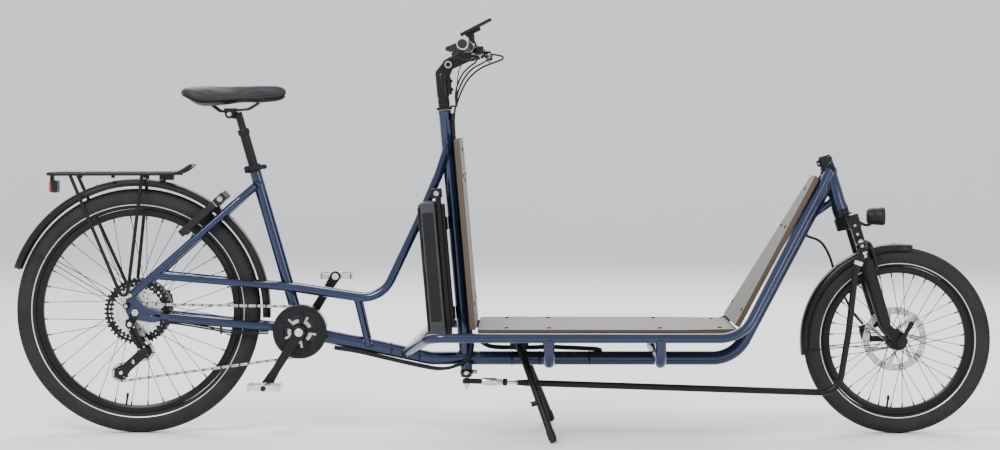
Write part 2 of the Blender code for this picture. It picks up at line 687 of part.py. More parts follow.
def make_crankset():
    right_tip = BOTTOM_BRACKET + CRANK_DIRECTION * CRANK_LENGTH
    left_tip = BOTTOM_BRACKET - CRANK_DIRECTION * CRANK_LENGTH
    profile = [(-0.0930, 0), (-0.0930, 0.013), (-0.0760, 0.013), (-0.0720, 0.022), (-0.0590, 0.026), (-0.0590, 0.075)]
    profile += [(-0.0560, 0.075), (-0.0560, 0.026), (-0.0525, 0.026), (-0.0525, 0.0630), (-0.0475, 0.0630)]
    profile += [(-0.0475, 0.020), (-0.0440, 0.020), (-0.0440, 0.0115), (0.0930, 0.0115), (0.0930, 0)]
    crankset = turned_across("crankset", profile, BOTTOM_BRACKET, SATIN_BLACK, 24)
    arms = [
        side_bar("crank_arm_right", BOTTOM_BRACKET, right_tip, (0.0175, 0.0150), -0.0925, -0.0785),
        side_bar("crank_arm_left", BOTTOM_BRACKET, left_tip, (0.0175, 0.0150), 0.0785, 0.0925),
    ]
    join(crankset, *arms)
    pivot("crank_pivot", BOTTOM_BRACKET, crankset)
    for word, side, tip in (("right", -1, right_tip), ("left", 1, left_tip)):
        centre = tip + Vector((0, side * 0.148, 0))
        pedal = block(f"pedal_{word}", centre, (0.090, 0.086, 0.023), SILVER)
        inner, outer = tip + Vector((0, side * 0.0935, 0)), tip + Vector((0, side * 0.110, 0))
        join(pedal, cylinder(f"pedal_axle_{word}", inner, outer, 0.0065, sides=10))
        pivot(f"pedal_pivot_{word}", centre, pedal)


def make_derailleur():
    knuckle = Vector((GUIDE_PULLEY.x, 0, GUIDE_PULLEY.z))
    side_bar("derailleur_body", HANGER, knuckle, (0.0125, 0.0115), -0.0940, -0.0775, SATIN_BLACK)
    tension = Vector((TENSION_PULLEY.x, 0, TENSION_PULLEY.z))
    cage = side_bar("derailleur_cage", knuckle, tension, (0.0120, 0.0100), -0.0705, -0.0690, SATIN_BLACK)
    join(cage, side_bar("cage_inner", knuckle, tension, (0.0120, 0.0100), -0.0550, -0.0535))
    for name, centre, outside in (("guide", knuckle, -0.0770), ("tension", tension, -0.0715)):
        start, end = centre + Vector((0, outside, 0)), centre + Vector((0, -0.0540, 0))
        join(cage, cylinder(f"{name}_pin", start, end, 0.0030, sides=12))
        profile = [(-0.0020, 0.0034), (-0.0020, 0.0182), (0.0020, 0.0182), (0.0020, 0.0034)]
        middle = centre + Vector((0, REAR_CHAIN_Y, 0))
        pulley = turned_across(f"{name}_pulley", profile, middle, PLASTIC_BLACK, 14, closed=True)
        pivot(f"{name}_pulley_pivot", middle, pulley)
    pivot("cage_pivot", knuckle, cage)


# ---------------------------------------------------------------- seat


def make_seat():
    profile = [(0, 0.44), (0.0112, 0.44), (0.0112, 0.582), (0.0165, 0.582), (0.0165, 0.566), (0.0137, 0.564)]
    profile += [(0.0137, 0.345), (0, 0.345)]
    post = turned("seat_post", profile, facing(BOTTOM_BRACKET, SEAT_DIRECTION), SATIN_BLACK)
    pivot("seat_post_pivot", at_seat(0.46), post)
    head = Vector((-0.7480, 0, 0.8870))
    shaft = cylinder("seat_post_head", at_seat(0.48), at_seat(0.632), 0.0106, SATIN_BLACK, 16)
    join(shaft, side_bar("setback", at_seat(0.6215), head, (0.0087, 0.0108), -0.0092, 0.0092))
    join(shaft, cylinder("seat_clamp", head - Vector((0, 0.027, 0)), head + Vector((0, 0.027, 0)), 0.0125, sides=14))
    for word, side in SIDES.items():
        spread = side * 0.021
        points = [Vector((-0.7960, spread, 0.9110)), Vector((-0.7740, spread, 0.8940)), Vector((-0.6970, spread, 0.9005))]
        points += [Vector((-0.6680, side * 0.016, 0.9180))]
        join(shaft, tube(f"saddle_rail_{word}", points, 0.0035, None, 1))
    saddle = make_saddle()
    pivot("seat_head_pivot", head, shaft, saddle)
    side_y = -0.0230
    lever_start = at_seat(0.470, side_y) + Vector((-0.020, 0, 0))
    lever_end = lever_start + Vector((0.052, 0, 0.004))
    lever = side_bar("seat_clamp_lever", lever_start, lever_end, (0.0055, 0.0065), side_y - 0.002, side_y + 0.002, SILVER)
    pivot("seat_clamp_pivot", lever_start, lever)


def make_saddle():
    """A loft of eight-sided sections from tail to nose, rounded by subdivision."""
    stations = [  # x, half width, top, bottom
        (-0.8800, 0.045, 0.9560, 0.9400),
        (-0.8620, 0.072, 0.9620, 0.9310),
        (-0.8250, 0.079, 0.9610, 0.9120),
        (-0.7650, 0.060, 0.9580, 0.9150),
        (-0.7150, 0.036, 0.9590, 0.9215),
        (-0.6600, 0.025, 0.9635, 0.9215),
        (-0.6120, 0.022, 0.9630, 0.9270),
        (-0.5920, 0.014, 0.9540, 0.9390),
    ]
    vertices = []
    for x, half, top, bottom in stations:
        lip = bottom + 0.35 * (top - bottom)
        ring = [(0, top), (0.62, top - 0.001), (0.98, top - 0.010), (1.0, lip), (0.72, bottom)]
        across = ring + [(-y, z) for y, z in reversed(ring[1:])]
        vertices += [(x, half * y, z) for y, z in across]
    count = len(vertices) // len(stations)
    faces = [tuple(range(count))[::-1], tuple(range(len(vertices) - count, len(vertices)))]
    for i in range(len(stations) - 1):
        for k in range(count):
            a, b = i * count + k, i * count + (k + 1) % count
            faces.append((a, b, b + count, a + count))
    mesh = bpy.data.meshes.new("saddle")
    mesh.from_pydata(vertices, [], faces)
    shape = bmesh.new()
    shape.from_mesh(mesh)
    bmesh.ops.recalc_face_normals(shape, faces=shape.faces)
    shape.to_mesh(mesh)
    shape.free()
    mesh.shade_smooth()
    saddle = place("saddle", mesh, SADDLE_SKIN)
    rounding = saddle.modifiers.new("Round", "SUBSURF")
    rounding.levels = 1
    rounding.render_levels = 1
    return saddle


# ---------------------------------------------------------------- battery and kickstand


def make_battery():
    forward, across, up = BATTERY_CENTRE
    turn = lean(COLUMN_AXIS)
    battery = block("battery", at_column(up, forward, across), BATTERY_SIZE, PLASTIC_BLACK, turn)
    rounding = battery.modifiers.new("Round", "BEVEL")
    rounding.width = 0.014
    rounding.segments = 3
    rounding.limit_method = "ANGLE"
    pivot("battery_pivot", at_column(up, forward, across), battery)
    rear, front = forward + BATTERY_SIZE.x / 2 + 0.0005, -COLUMN_RADIUS - 0.0010
    plate_centre = at_column(up + 0.005, (rear + front) / 2, across)
    rail = block("battery_rail", plate_centre, (front - rear, 0.060, 0.378), SATIN_BLACK, turn)
    for i, height in enumerate((0.17, 0.42)):
        bracket = at_column(height, (rear + front) / 2, across / 2)
        join(rail, block(f"battery_bracket_{i}", bracket, (front - rear - 0.004, abs(across), 0.030), None, turn))


def make_kickstand():
    corners = [mirrored(STAND_FOOT, -1), STAND_PIVOT - Vector((0, 0.080, 0)), STAND_PIVOT + Vector((0, 0.080, 0))]
    corners += [STAND_FOOT.copy()]
    down = (corners[0] - corners[1]).normalized()
    corners[0] += down * 0.012
    corners[3] += mirrored(down, -1) * 0.012
    stand = tube("kickstand", bent(corners, 0.022), STAND_RADIUS, SATIN_BLACK)
    cut(stand, block("ground", Vector((0, 0, -0.05)), (1, 1, 0.1)))
    pivot("kickstand_pivot", STAND_PIVOT, stand)
    bracket = block("kickstand_bracket", STAND_PIVOT - Vector((0, 0, 0.0025)), (0.052, 0.064, 0.0375), SATIN_BLACK)
    reach = Vector((0, 0.05, 0))
    cut(bracket, cylinder("stand_bore", STAND_PIVOT - reach, STAND_PIVOT + reach, STAND_RADIUS + 0.0006))


# ---------------------------------------------------------------- cockpit and steering


def make_steering():
    shaft = cylinder("steering_shaft", at_column(-0.010), at_column(COLUMN_LENGTH + 0.010), 0.0130, SATIN_BLACK)
    join(shaft, cylinder("collar", at_column(COLUMN_LENGTH + 0.0008), at_column(COLUMN_LENGTH + 0.011), 0.0205))
    riser = [at_column(COLUMN_LENGTH + 0.005), at_column(0.790), at_column(0.838)]
    join(shaft, tube("riser", riser, 0.0155))
    join(shaft, side_bar("riser_tongue", at_column(0.815), STEM_PIVOT, (0.0150, 0.0165), -0.0080, 0.0080))
    arm_height = 0.1700
    arm = Vector((ROD_REAR.x, (ROD_Y - 0.014 + 0.016) / 2, arm_height))
    join(shaft, block("steering_arm", arm, (0.028, 0.016 - ROD_Y + 0.014, 0.0070)))
    pivot("column_pivot", COLUMN_BOTTOM, shaft)


def make_stem():
    stem = side_bar("stem", STEM_PIVOT, BAR_CENTRE, (0.0165, 0.0185), -0.0165, 0.0165, SATIN_BLACK)
    tongue = Vector((0, 0.0084, 0))
    cut(stem, cylinder("tongue_space", STEM_PIVOT - tongue, STEM_PIVOT + tongue, 0.0215))
    half = Vector((0, 0.0220, 0))
    join(stem, cylinder("bar_clamp", BAR_CENTRE - half, BAR_CENTRE + half, 0.0205))
    reach = Vector((0, 0.04, 0))
    cut(stem, sleeve_cutter("bar_space", BAR_CENTRE - reach, BAR_CENTRE + reach, 0.0159))
    half_bar = [(0.040, 0, 0, 0.0159), (0.042, 0, 0, BAR_RADIUS), (0.120, 0.0015, 0.006, BAR_RADIUS)]
    half_bar += [(0.199, -0.0035, 0.014, BAR_RADIUS), (0.200, -0.0036, 0.014, GRIP_RADIUS)]
    half_bar += [(0.327, -0.0163, 0.019, GRIP_RADIUS), (0.335, -0.0171, 0.0193, 0.0140)]
    points = [BAR_CENTRE + Vector((x, -y, z)) for y, x, z, _ in reversed(half_bar)]
    points += [BAR_CENTRE + Vector((x, y, z)) for y, x, z, _ in half_bar]
    radii = [r for _, _, _, r in reversed(half_bar)] + [r for _, _, _, r in half_bar]
    bar = tube("handlebar", points, 1.0, SATIN_BLACK, radii=radii)
    for word, side in SIDES.items():
        centre = Vector((-0.0580, side * 0.163, 1.0570))
        join(bar, block(f"brake_master_{word}", centre, (0.040, 0.026, 0.026)))
    join(bar, block("shifter_pod", Vector((-0.0870, -0.168, 1.0450)), (0.022, 0.032, 0.022)))
    pivot("stem_pivot", STEM_PIVOT, stem, bar)


def make_controls():
    for word, side in SIDES.items():
        start = Vector((-0.0285, side * 0.152, 1.0480))
        points = [start, Vector((-0.0260, side * 0.200, 1.0440)), Vector((-0.0330, side * 0.300, 1.0400))]
        lever = tube(f"brake_lever_{word}", points, 0.0050, SATIN_BLACK, 2)
        pivot(f"brake_lever_pivot_{word}", Vector((-0.0285, side * 0.156, 1.0480)), lever)
    centre = Vector((-0.1170, -0.168, 1.0400))
    paddle = block("shifter_paddle", centre, (0.034, 0.010, 0.004), PLASTIC_BLACK)
    pivot("shifter_pivot", Vector((-0.1010, -0.168, 1.0400)), paddle)
    slope = Matrix.Rotation(-math.atan2(0.0444, 0.0861), 4, "Y")
    display = block("display", Vector((-0.0656, 0, 1.1276)), (0.097, 0.060, 0.009), PLASTIC_BLACK, slope)
    join(display, block("display_neck", Vector((-0.0700, 0, 1.0995)), (0.020, 0.026, 0.045), None))
    pivot("display_pivot", BAR_CENTRE, display)


def make_tie_rod():
    route = [ROD_REAR, Vector((0.930, ROD_Y, 0.1230)), Vector((0.9566, ROD_Y, 0.2866)), Vector((0.9750, ROD_Y, 0.455))]
    route += [ROD_FRONT]
    rod = tube("tie_rod", bent(route, [0.055, 0.30, 0.08], 3), ROD_RADIUS, SATIN_BLACK)
    pivot("tie_rod_pivot", ROD_REAR, rod)


def make_fork():
    low, high = -0.0538, -0.0198
    middle = at_fork((low + high) / 2, -0.0005)
    turn = lean(HEAD_AXIS)
    crown = block("fork_crown", middle, (0.073, 0.168, high - low), SATIN_BLACK, turn)
    join(crown, cylinder("steerer", at_fork(-0.03), at_fork(0.130), 0.0146))
    join(crown, cylinder("crown_race", at_fork(-0.025), at_fork(-0.0010), 0.0205, top_radius=0.0225))
    join(crown, cylinder("top_cap", at_fork(HEAD_LENGTH + 0.0008), at_fork(0.1600), 0.0205, top_radius=0.0185))
    for word, side in SIDES.items():
        top, bottom = at_fork(-0.03, LEG_OFFSET, side * LEG_SPREAD), at_fork(-0.200, LEG_OFFSET, side * LEG_SPREAD)
        join(crown, cylinder(f"stanchion_{word}", bottom, top, 0.0148))
    rod_side = 0.0165
    join(crown, block("rod_bracket", at_fork(-0.0600, rod_side, -0.0868), (0.024, 0.0065, 0.076), None, turn))
    join(crown, block("rod_tab", at_fork(-0.0955, rod_side, -0.1060), (0.024, 0.045, 0.006), None, turn))
    pivot("steering_pivot", HEAD_BOTTOM, crown)


def make_fork_lowers():
    legs = []
    for word, side in SIDES.items():
        where = facing(at_fork(0, LEG_OFFSET, side * LEG_SPREAD), HEAD_AXIS)
        profile = [(0, -0.252), (0.0154, -0.252), (0.0154, -0.152), (0.0205, -0.152), (0.0205, -0.172)]
        profile += [(0.0195, -0.176), (0.0170, -0.330), (0.0120, -0.345), (0, -0.345)]
        name = "fork_lowers" if word == "right" else "fork_leg_left"
        legs.append(turned(name, profile, where, SATIN_BLACK if word == "right" else None))
    lowers = legs[0]
    arch = [at_fork(-0.176, 0.0435, 0.060), at_fork(-0.122, 0.0435, 0.057), at_fork(-0.106, 0.0435, 0.036)]
    arch += [mirrored(point, -1) for point in reversed(arch)]
    join(lowers, tube("fork_arch", arch, 0.0072, None, 2), legs[1])
    leg_end = at_fork(-0.335, LEG_OFFSET)
    for word, side in SIDES.items():
        inner, outer = sorted((side * 0.0503, side * 0.0640))
        join(lowers, side_bar(f"fork_dropout_{word}", leg_end, FRONT_AXLE, (0.0120, 0.0150), inner, outer))
    caliper = Vector((1.0243, 0.0560, 0.2715))
    join(lowers, block("front_caliper", caliper, (0.030, 0.0200, 0.052), None, lean(HEAD_AXIS)))
    join(lowers, side_bar("caliper_bracket", leg_end, Vector((1.0320, 0, 0.2850)), (0.0080, 0.0080), 0.0525, 0.0635))
    reach = Vector((0, 0.10, 0))
    cut(lowers, cylinder("front_axle_bore", FRONT_AXLE - reach, FRONT_AXLE + reach, 0.0068, sides=16))
    fender = make_fender("front_fender", FRONT_AXLE, 0.268, 0.029, 81, 189, 14)
    axle = cylinder("front_axle", FRONT_AXLE - Vector((0, 0.0785, 0)), FRONT_AXLE + Vector((0, 0.068, 0)), 0.0062, SILVER, 16)
    join(axle, side_bar("axle_lever", FRONT_AXLE, Vector((1.1335, 0, 0.3105)), (0.0095, 0.0075), -0.0860, -0.0775))
    pivot("axle_lever_pivot", FRONT_AXLE, axle)
    pivot("suspension_pivot", at_fork(-0.2, LEG_OFFSET), lowers, fender)


def make_headlight():
    front = Vector((1.0700, 0, 0.6035))
    profile = [(0, 0), (0.0210, 0), (0.0255, -0.004), (0.0255, -0.014), (0.0200, -0.034), (0.0120, -0.050), (0, -0.053)]
    lamp = turned("headlight", profile, facing(front, Vector((1, 0, 0))), LAMP)
    root = at_fork(-0.040, 0.0320)
    join(lamp, tube("headlight_arm", [root, Vector((1.0200, 0, 0.5760)), Vector((1.0440, 0, 0.5900))], 0.0040, None, 2))
    cut(lamp, block("crown_space", at_fork(-0.0368, -0.0005), (0.0736, 0.169, 0.060), None, lean(HEAD_AXIS)))
    pivot("headlight_pivot", HEAD_BOTTOM, lamp)


# ---------------------------------------------------------------- cables


def smooth_route(points, steps=6):
    """Points of a smooth curve through a route's own points (Catmull-Rom)."""
    made = []
    padded = [points[0] * 2 - points[1], *points, points[-1] * 2 - points[-2]]
    for i in range(1, len(padded) - 2):
        before, start, end, after = padded[i - 1 : i + 3]
        for k in range(steps):
            t = k / steps
            made.append(
                0.5
                * (
                    start * 2
                    + (end - before) * t
                    + (before * 2 - start * 5 + end * 4 - after) * t * t
                    + (start * 3 - before - end * 3 + after) * t * t * t
                )
            )
    made.append(points[-1])
    return made


def make_cables():
    cockpit = [
        Vector((-0.0350, -0.100, 1.0300)),
        Vector((0.0050, -0.080, 1.0260)),
        Vector((-0.0300, -0.052, 1.0080)),
        Vector((-0.0720, -0.032, 0.9850)),
        Vector((-0.1050, -0.018, 0.9320)),
        at_column(0.725, 0.0245, -0.010),
    ]
    tube("cockpit_cables", smooth_route(cockpit, 4), 0.0038, RUBBER, 1)
    frame = [
        at_column(0.720, 0.0232, -0.008),
        at_column(0.660, 0.0208, -0.006),
        at_column(0.400, 0.0208, -0.006),
        at_column(0.120, 0.0208, -0.010),
        at_column(0.078, 0.0215, -0.020),
        Vector((-0.0850, -0.0270, 0.2100)),
        Vector((-0.1150, -0.0245, 0.1900)),
        Vector((-0.1600, -0.0100, 0.1790)),
        Vector((-0.2200, -0.0060, 0.1870)),
        Vector((-0.3914, -0.0060, 0.2258)),
        Vector((-0.4600, -0.0060, 0.2370)),
    ]
    tube("frame_cables", smooth_route(frame, 3), 0.0036, RUBBER, 1)
    hose = [
        Vector((0.8560, 0.0240, 0.5480)),
        Vector((0.8970, 0.0420, 0.5300)),
        Vector((0.9230, 0.0480, 0.4880)),
        Vector((0.9400, 0.0520, 0.4300)),
        Vector((0.9850, 0.0570, 0.3400)),
        Vector((1.0180, 0.0600, 0.2990)),
    ]
    tube("fork_hose", smooth_route(hose, 3), 0.0036, RUBBER, 1)


make_frame()
make_boards()
make_fender("rear_fender", REAR_AXLE, 0.3668, 0.0300, -3, 162.5, 20)
make_rack()
make_ring_lock()
make_wheels()
make_cassette()
make_chain()
make_crankset()
make_derailleur()
make_seat()
make_battery()
make_kickstand()
make_steering()
make_stem()
make_controls()
make_tie_rod()
make_fork()
make_fork_lowers()
make_headlight()
make_cables()

bpy.context.view_layer.update()
for obj in bpy.data.objects:
    if obj.parent is None:
        obj.matrix_world = Matrix.Translation((TO_MIDDLE, 0, 0)) @ obj.matrix_world
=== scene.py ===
"""Looks for the cargo bicycle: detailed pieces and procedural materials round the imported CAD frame.

Metres in the CAD's own frame: +X forward, +Y to the rider's left, +Z up. The drive side is at -Y.
"""

import math

import bmesh
import bpy
from mathutils import Matrix, Vector


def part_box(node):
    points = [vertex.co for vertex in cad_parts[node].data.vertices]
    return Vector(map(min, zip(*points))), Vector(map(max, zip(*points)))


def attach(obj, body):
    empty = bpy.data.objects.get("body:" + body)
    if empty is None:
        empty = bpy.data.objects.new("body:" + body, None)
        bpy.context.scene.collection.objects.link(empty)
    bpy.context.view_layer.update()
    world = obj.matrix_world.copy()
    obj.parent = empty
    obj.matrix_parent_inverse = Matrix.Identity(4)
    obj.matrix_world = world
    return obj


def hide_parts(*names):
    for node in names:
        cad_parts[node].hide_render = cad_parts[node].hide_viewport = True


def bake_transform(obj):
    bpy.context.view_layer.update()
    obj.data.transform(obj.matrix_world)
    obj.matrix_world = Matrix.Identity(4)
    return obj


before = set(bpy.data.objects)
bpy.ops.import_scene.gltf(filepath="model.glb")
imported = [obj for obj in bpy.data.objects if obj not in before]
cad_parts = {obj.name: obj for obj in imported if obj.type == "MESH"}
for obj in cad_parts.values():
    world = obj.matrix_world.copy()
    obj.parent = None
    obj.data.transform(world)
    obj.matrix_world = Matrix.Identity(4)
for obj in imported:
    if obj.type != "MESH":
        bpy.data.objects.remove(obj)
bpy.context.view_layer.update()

UP = Vector((0, 0, 1))
ACROSS = Vector((0, 1, 0))
SIDES = {"right": -1, "left": 1}


def middle_of(node, y=None):
    low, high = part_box(node)
    centre = (low + high) / 2
    if y is not None:
        centre.y = y
    return centre


# Driving places, from the frame
REAR_AXLE = middle_of("rear_tyre", 0)
FRONT_AXLE = middle_of("front_tyre", 0)
BOTTOM_BRACKET = middle_of("motor", 0)
REAR_RADIUS = REAR_AXLE.z
FRONT_RADIUS = FRONT_AXLE.z
MIDDLE = REAR_AXLE.x + 1.0045  # where the CAD source's own X = 0 lies in the frame


def row(x, y, z):
    """A point given as in the CAD source, in the frame."""
    return Vector((x + MIDDLE, y, z))


SEAT_DIRECTION = Vector((-0.2765, 0, 0.9611)).normalized()
COLUMN_BOTTOM = row(-0.0905, 0, 0.1678)
COLUMN_AXIS = Vector((-0.0621, 0, 0.7302)).normalized()
COLUMN_LENGTH = 0.7328
COLUMN_RADIUS = 0.017
HEAD_BOTTOM = row(0.9468, 0, 0.6195)
HEAD_AXIS = Vector((-0.0428, 0, 0.1389)).normalized()
HEAD_LENGTH = 0.118
STEM_PIVOT = row(-0.1422, 0, 1.024)
BAR_CENTRE = row(-0.0795, 0, 1.054)
STAND_PIVOT = row(0.055, 0, 0.250)
MAIN_TUBE_RADIUS = 0.019
MAIN_TUBE_LEVEL = 0.2086
RAIL_RADIUS = 0.0130
RAIL_SPREAD = 0.260
RAIL_LEVEL = 0.2845
HOOP_RADIUS = 0.0145
HOOP_LEVEL = 0.2160
HOOP_PLACES = (0.136, 0.436)
SEAT_TUBE_RADIUS = 0.016
STAY_RADIUS = 0.011
DECK_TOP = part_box("deck_board")[1].z
BOARD_THICKNESS = 0.015
LEG_OFFSET = 0.0192
LEG_SPREAD = 0.067
ROD_Y = -0.115
BATTERY_Y = -0.066
RIM_DEPTH = 0.0195
BAR_RADIUS = 0.0112
BAR_CLAMP_RADIUS = 0.0159
ROD_REAR = row(-0.0895, ROD_Y, 0.1555)
CRANK_DIRECTION = Vector((-0.0893, 0, -0.145)).normalized()
CRANK_LENGTH = 0.170
CHAIN_PITCH = 0.0127
GUIDE_PULLEY = middle_of("guide_pulley")
TENSION_PULLEY = middle_of("tension_pulley")
CHAINRING_TEETH, COG_TEETH, PULLEY_TEETH = 34, 11, 12


def forward_of(axis):
    return Vector((axis.z, 0, -axis.x))


def at_column(up, forward=0.0, across=0.0):
    return COLUMN_BOTTOM + COLUMN_AXIS * up + forward_of(COLUMN_AXIS) * forward + ACROSS * across


def at_fork(up, forward=0.0, across=0.0):
    return HEAD_BOTTOM + HEAD_AXIS * up + forward_of(HEAD_AXIS) * forward + ACROSS * across


def at_seat(up, forward=0.0, across=0.0):
    return BOTTOM_BRACKET + SEAT_DIRECTION * up + forward_of(SEAT_DIRECTION) * forward + ACROSS * across


ROD_FRONT = at_fork(-0.1124, 0.0165, ROD_Y)

# ---------------------------------------------------------------- shapes


def unit(angle):
    """The direction at an angle in the XZ plane, in degrees from +X towards +Z."""
    return Vector((math.cos(math.radians(angle)), 0, math.sin(math.radians(angle))))


def mirrored(point, side=-1):
    return Vector((point.x, side * point.y, point.z))


def bent(points, radius, steps=10):
    """A polyline's points with each corner rounded; radius is one value, or one for each corner."""
    made = [points[0]]
    for i in range(1, len(points) - 1):
        back = (points[i - 1] - points[i]).normalized()
        ahead = (points[i + 1] - points[i]).normalized()
        bend = radius[i - 1] if isinstance(radius, (list, tuple)) else radius
        half = back.angle(ahead) / 2
        cut = bend / math.tan(half)
        centre = points[i] + (back + ahead).normalized() * (bend / math.sin(half))
        start = points[i] + back * cut - centre
        end = points[i] + ahead * cut - centre
        sweep = start.angle(end)
        for k in range(steps + 1):
            share = k / steps
            arm = (start * math.sin((1 - share) * sweep) + end * math.sin(share * sweep)) / math.sin(sweep)
            made.append(centre + arm)
    made.append(points[-1])
    return made


def smooth_route(points, steps=8):
    """Points of a smooth curve through a route's own points (Catmull-Rom)."""
    made = []
    padded = [points[0] * 2 - points[1], *points, points[-1] * 2 - points[-2]]
    for i in range(1, len(padded) - 2):
        before, start, end, after = padded[i - 1 : i + 3]
        for k in range(steps):
            t = k / steps
            bow = (before * 2 - start * 5 + end * 4 - after) * t * t
            twist = (start * 3 - before - end * 3 + after) * t * t * t
            made.append((start * 2 + (end - before) * t + bow + twist) * 0.5)
    made.append(points[-1])
    return made


def arc(centre, radius, first, last, steps):
    """Points of an arc in a plane, with angles in degrees."""
    angles = [math.radians(first + (last - first) * i / steps) for i in range(steps + 1)]
    return [(centre[0] + radius * math.cos(a), centre[1] + radius * math.sin(a)) for a in angles]


def circle(radius, steps=24, centre=(0, 0)):
    return arc(centre, radius, 0, 360 * (1 - 1 / steps), steps - 1)


def facing(centre, axis, turn=0.0):
    """The matrix that puts local Z along an axis, at a centre."""
    stood = Matrix.Translation(centre) @ axis.to_track_quat("Z", "Y").to_matrix().to_4x4()
    return stood @ Matrix.Rotation(turn, 4, "Z")


def across_y(centre, turn=0.0):
    """The matrix that stands local XY up in the XZ plane, with local Z along -Y, turned about that axis."""
    return Matrix.Translation(centre) @ Matrix.Rotation(math.pi / 2, 4, "X") @ Matrix.Rotation(turn, 4, "Z")


def lean(axis):
    """The turn that takes world Z to an axis in the bicycle's plane."""
    return Matrix.Rotation(math.atan2(axis.x, axis.z), 4, "Y")


def stood(centre, turn=None):
    return Matrix.Translation(centre) @ (turn or Matrix.Identity(4))


def path_frames(points, closed, side):
    """Two directions square to a path at each of its points, carried along it without twist."""
    count = len(points)
    pairs = []
    for i, point in enumerate(points):
        before = points[i - 1] if i or closed else point
        after = points[(i + 1) % count] if i < count - 1 or closed else point
        way = (after - before).normalized()
        side = (way.orthogonal() if side is None else side - way * side.dot(way)).normalized()
        pairs.append((side, way.cross(side)))
    return pairs


class Shape:
    """Vertices and faces of one piece, gathered from simple forms. Faces take the material number in look."""

    def __init__(self):
        self.points = []
        self.faces = []
        self.looks = []
        self.look = 0

    def add(self, points, faces, where=None):
        base = len(self.points)
        self.points += [where @ Vector(p) if where else Vector(p) for p in points]
        self.faces += [tuple(base + i for i in face) for face in faces]
        self.looks += [self.look] * len(faces)
        return self

    def rings(self, rings, closed, caps=True):
        """Skins rings of equal size, one after another; a ring of one point is a tip."""
        points, index, faces = [], [], []
        for ring in rings:
            index.append(len(points))
            points += ring
        pairs = list(zip(range(len(rings)), range(1, len(rings))))
        if closed:
            pairs.append((len(rings) - 1, 0))
        count = max(len(ring) for ring in rings)
        for a, b in pairs:
            for k in range(count):
                corners = []
                for ring, step in ((a, k), (a, k + 1), (b, k + 1), (b, k)):
                    corner = index[ring] + step % len(rings[ring])
                    if corner not in corners:
                        corners.append(corner)
                if len(corners) > 2:
                    faces.append(tuple(corners))
        if caps and not closed:
            for ring, start in ((rings[0], index[0]), (rings[-1], index[-1])):
                if len(ring) > 2:
                    faces.append(tuple(range(start, start + len(ring))))
        return self.add(points, faces)

    def tube(self, points, radius, sides=20, closed=False, side=None, flat=1.0):
        """A round tube along points; flat squeezes it square to the side direction."""
        radii = radius if isinstance(radius, (list, tuple)) else [radius] * len(points)
        rings = []
        for point, (out, up), r in zip(points, path_frames(points, closed, side), radii):
            angles = [2 * math.pi * k / sides for k in range(sides)]
            rings.append([point + (out * math.cos(a) + up * math.sin(a) * flat) * r for a in angles])
        return self.rings(rings, closed)

    def turned(self, profile, where, steps=40, closed=False):
        """A profile of (radius, height) turned about local Z."""
        rings = []
        for radius, height in profile:
            if radius < 1e-6:
                rings.append([where @ Vector((0, 0, height))])
                continue
            angles = [2 * math.pi * k / steps for k in range(steps)]
            around = [(radius * math.cos(a), radius * math.sin(a)) for a in angles]
            rings.append([where @ Vector((x, y, height)) for x, y in around])
        return self.rings(rings, closed)

    def rod(self, start, end, radius, sides=20, end_radius=None):
        last = radius if end_radius is None else end_radius
        return self.turned([(radius, 0), (last, (end - start).length)], facing(start, end - start), sides)

    def block(self, size, where):
        x, y, z = (side / 2 for side in size)
        points = [(a * x, b * y, c * z) for a in (-1, 1) for b in (-1, 1) for c in (-1, 1)]
        faces = [(0, 1, 3, 2), (4, 6, 7, 5), (0, 4, 5, 1), (2, 3, 7, 6), (0, 2, 6, 4), (1, 5, 7, 3)]
        return self.add(points, faces, where)

    def prism(self, outline, thickness, where):
        """A flat outline in local XY with this thickness along local Z."""
        half, count = thickness / 2, len(outline)
        points = [(x, y, -half) for x, y in outline] + [(x, y, half) for x, y in outline]
        faces = [tuple(range(count))[::-1], tuple(range(count, 2 * count))]
        faces += [(k, (k + 1) % count, count + (k + 1) % count, count + k) for k in range(count)]
        return self.add(points, faces, where)

    def pierced(self, outlines, thickness, where):
        """A flat plate whose first outline is its edge and whose others are holes."""
        data = bpy.data.curves.new("plate", "CURVE")
        data.dimensions = "2D"
        data.fill_mode = "BOTH"
        data.extrude = thickness / 2
        for outline in outlines:
            spline = data.splines.new("POLY")
            spline.points.add(len(outline) - 1)
            for i, (x, y) in enumerate(outline):
                spline.points[i].co = (x, y, 0, 1)
            spline.use_cyclic_u = True
        guide = bpy.data.objects.new("plate", data)
        mesh = bpy.data.meshes.new_from_object(guide)
        shape = bmesh.new()
        shape.from_mesh(mesh)
        bmesh.ops.remove_doubles(shape, verts=shape.verts, dist=1e-6)
        shape.verts.index_update()
        self.add([v.co for v in shape.verts], [tuple(v.index for v in f.verts) for f in shape.faces], where)
        shape.free()
        bpy.data.meshes.remove(mesh)
        bpy.data.objects.remove(guide)
        bpy.data.curves.remove(data)
        return self

    def bolt(self, centre, axis, radius=0.004, height=0.003, socket=True):
        """A round bolt head with a hexagonal socket, standing on a face at centre."""
        profile = [(radius, 0), (radius, height * 0.7), (radius * 0.86, height)]
        hollow = [(radius * 0.5, height), (radius * 0.5, height * 0.3), (0, height * 0.3)]
        profile += hollow if socket else [(0, height)]
        return self.turned([(0, 0), *profile], facing(centre, axis), 18 if radius > 0.003 else 12)

    def nut(self, centre, axis, radius, height):
        """A hexagonal nut with its stud's rounded end."""
        self.turned([(0, 0), (radius, 0), (radius, height), (0, height)], facing(centre, axis), 6)
        end = [(radius * 0.55, 0), (radius * 0.55, height * 1.3), (radius * 0.4, height * 1.5),
               (0, height * 1.5)]
        return self.turned(end, facing(centre, axis), 16)

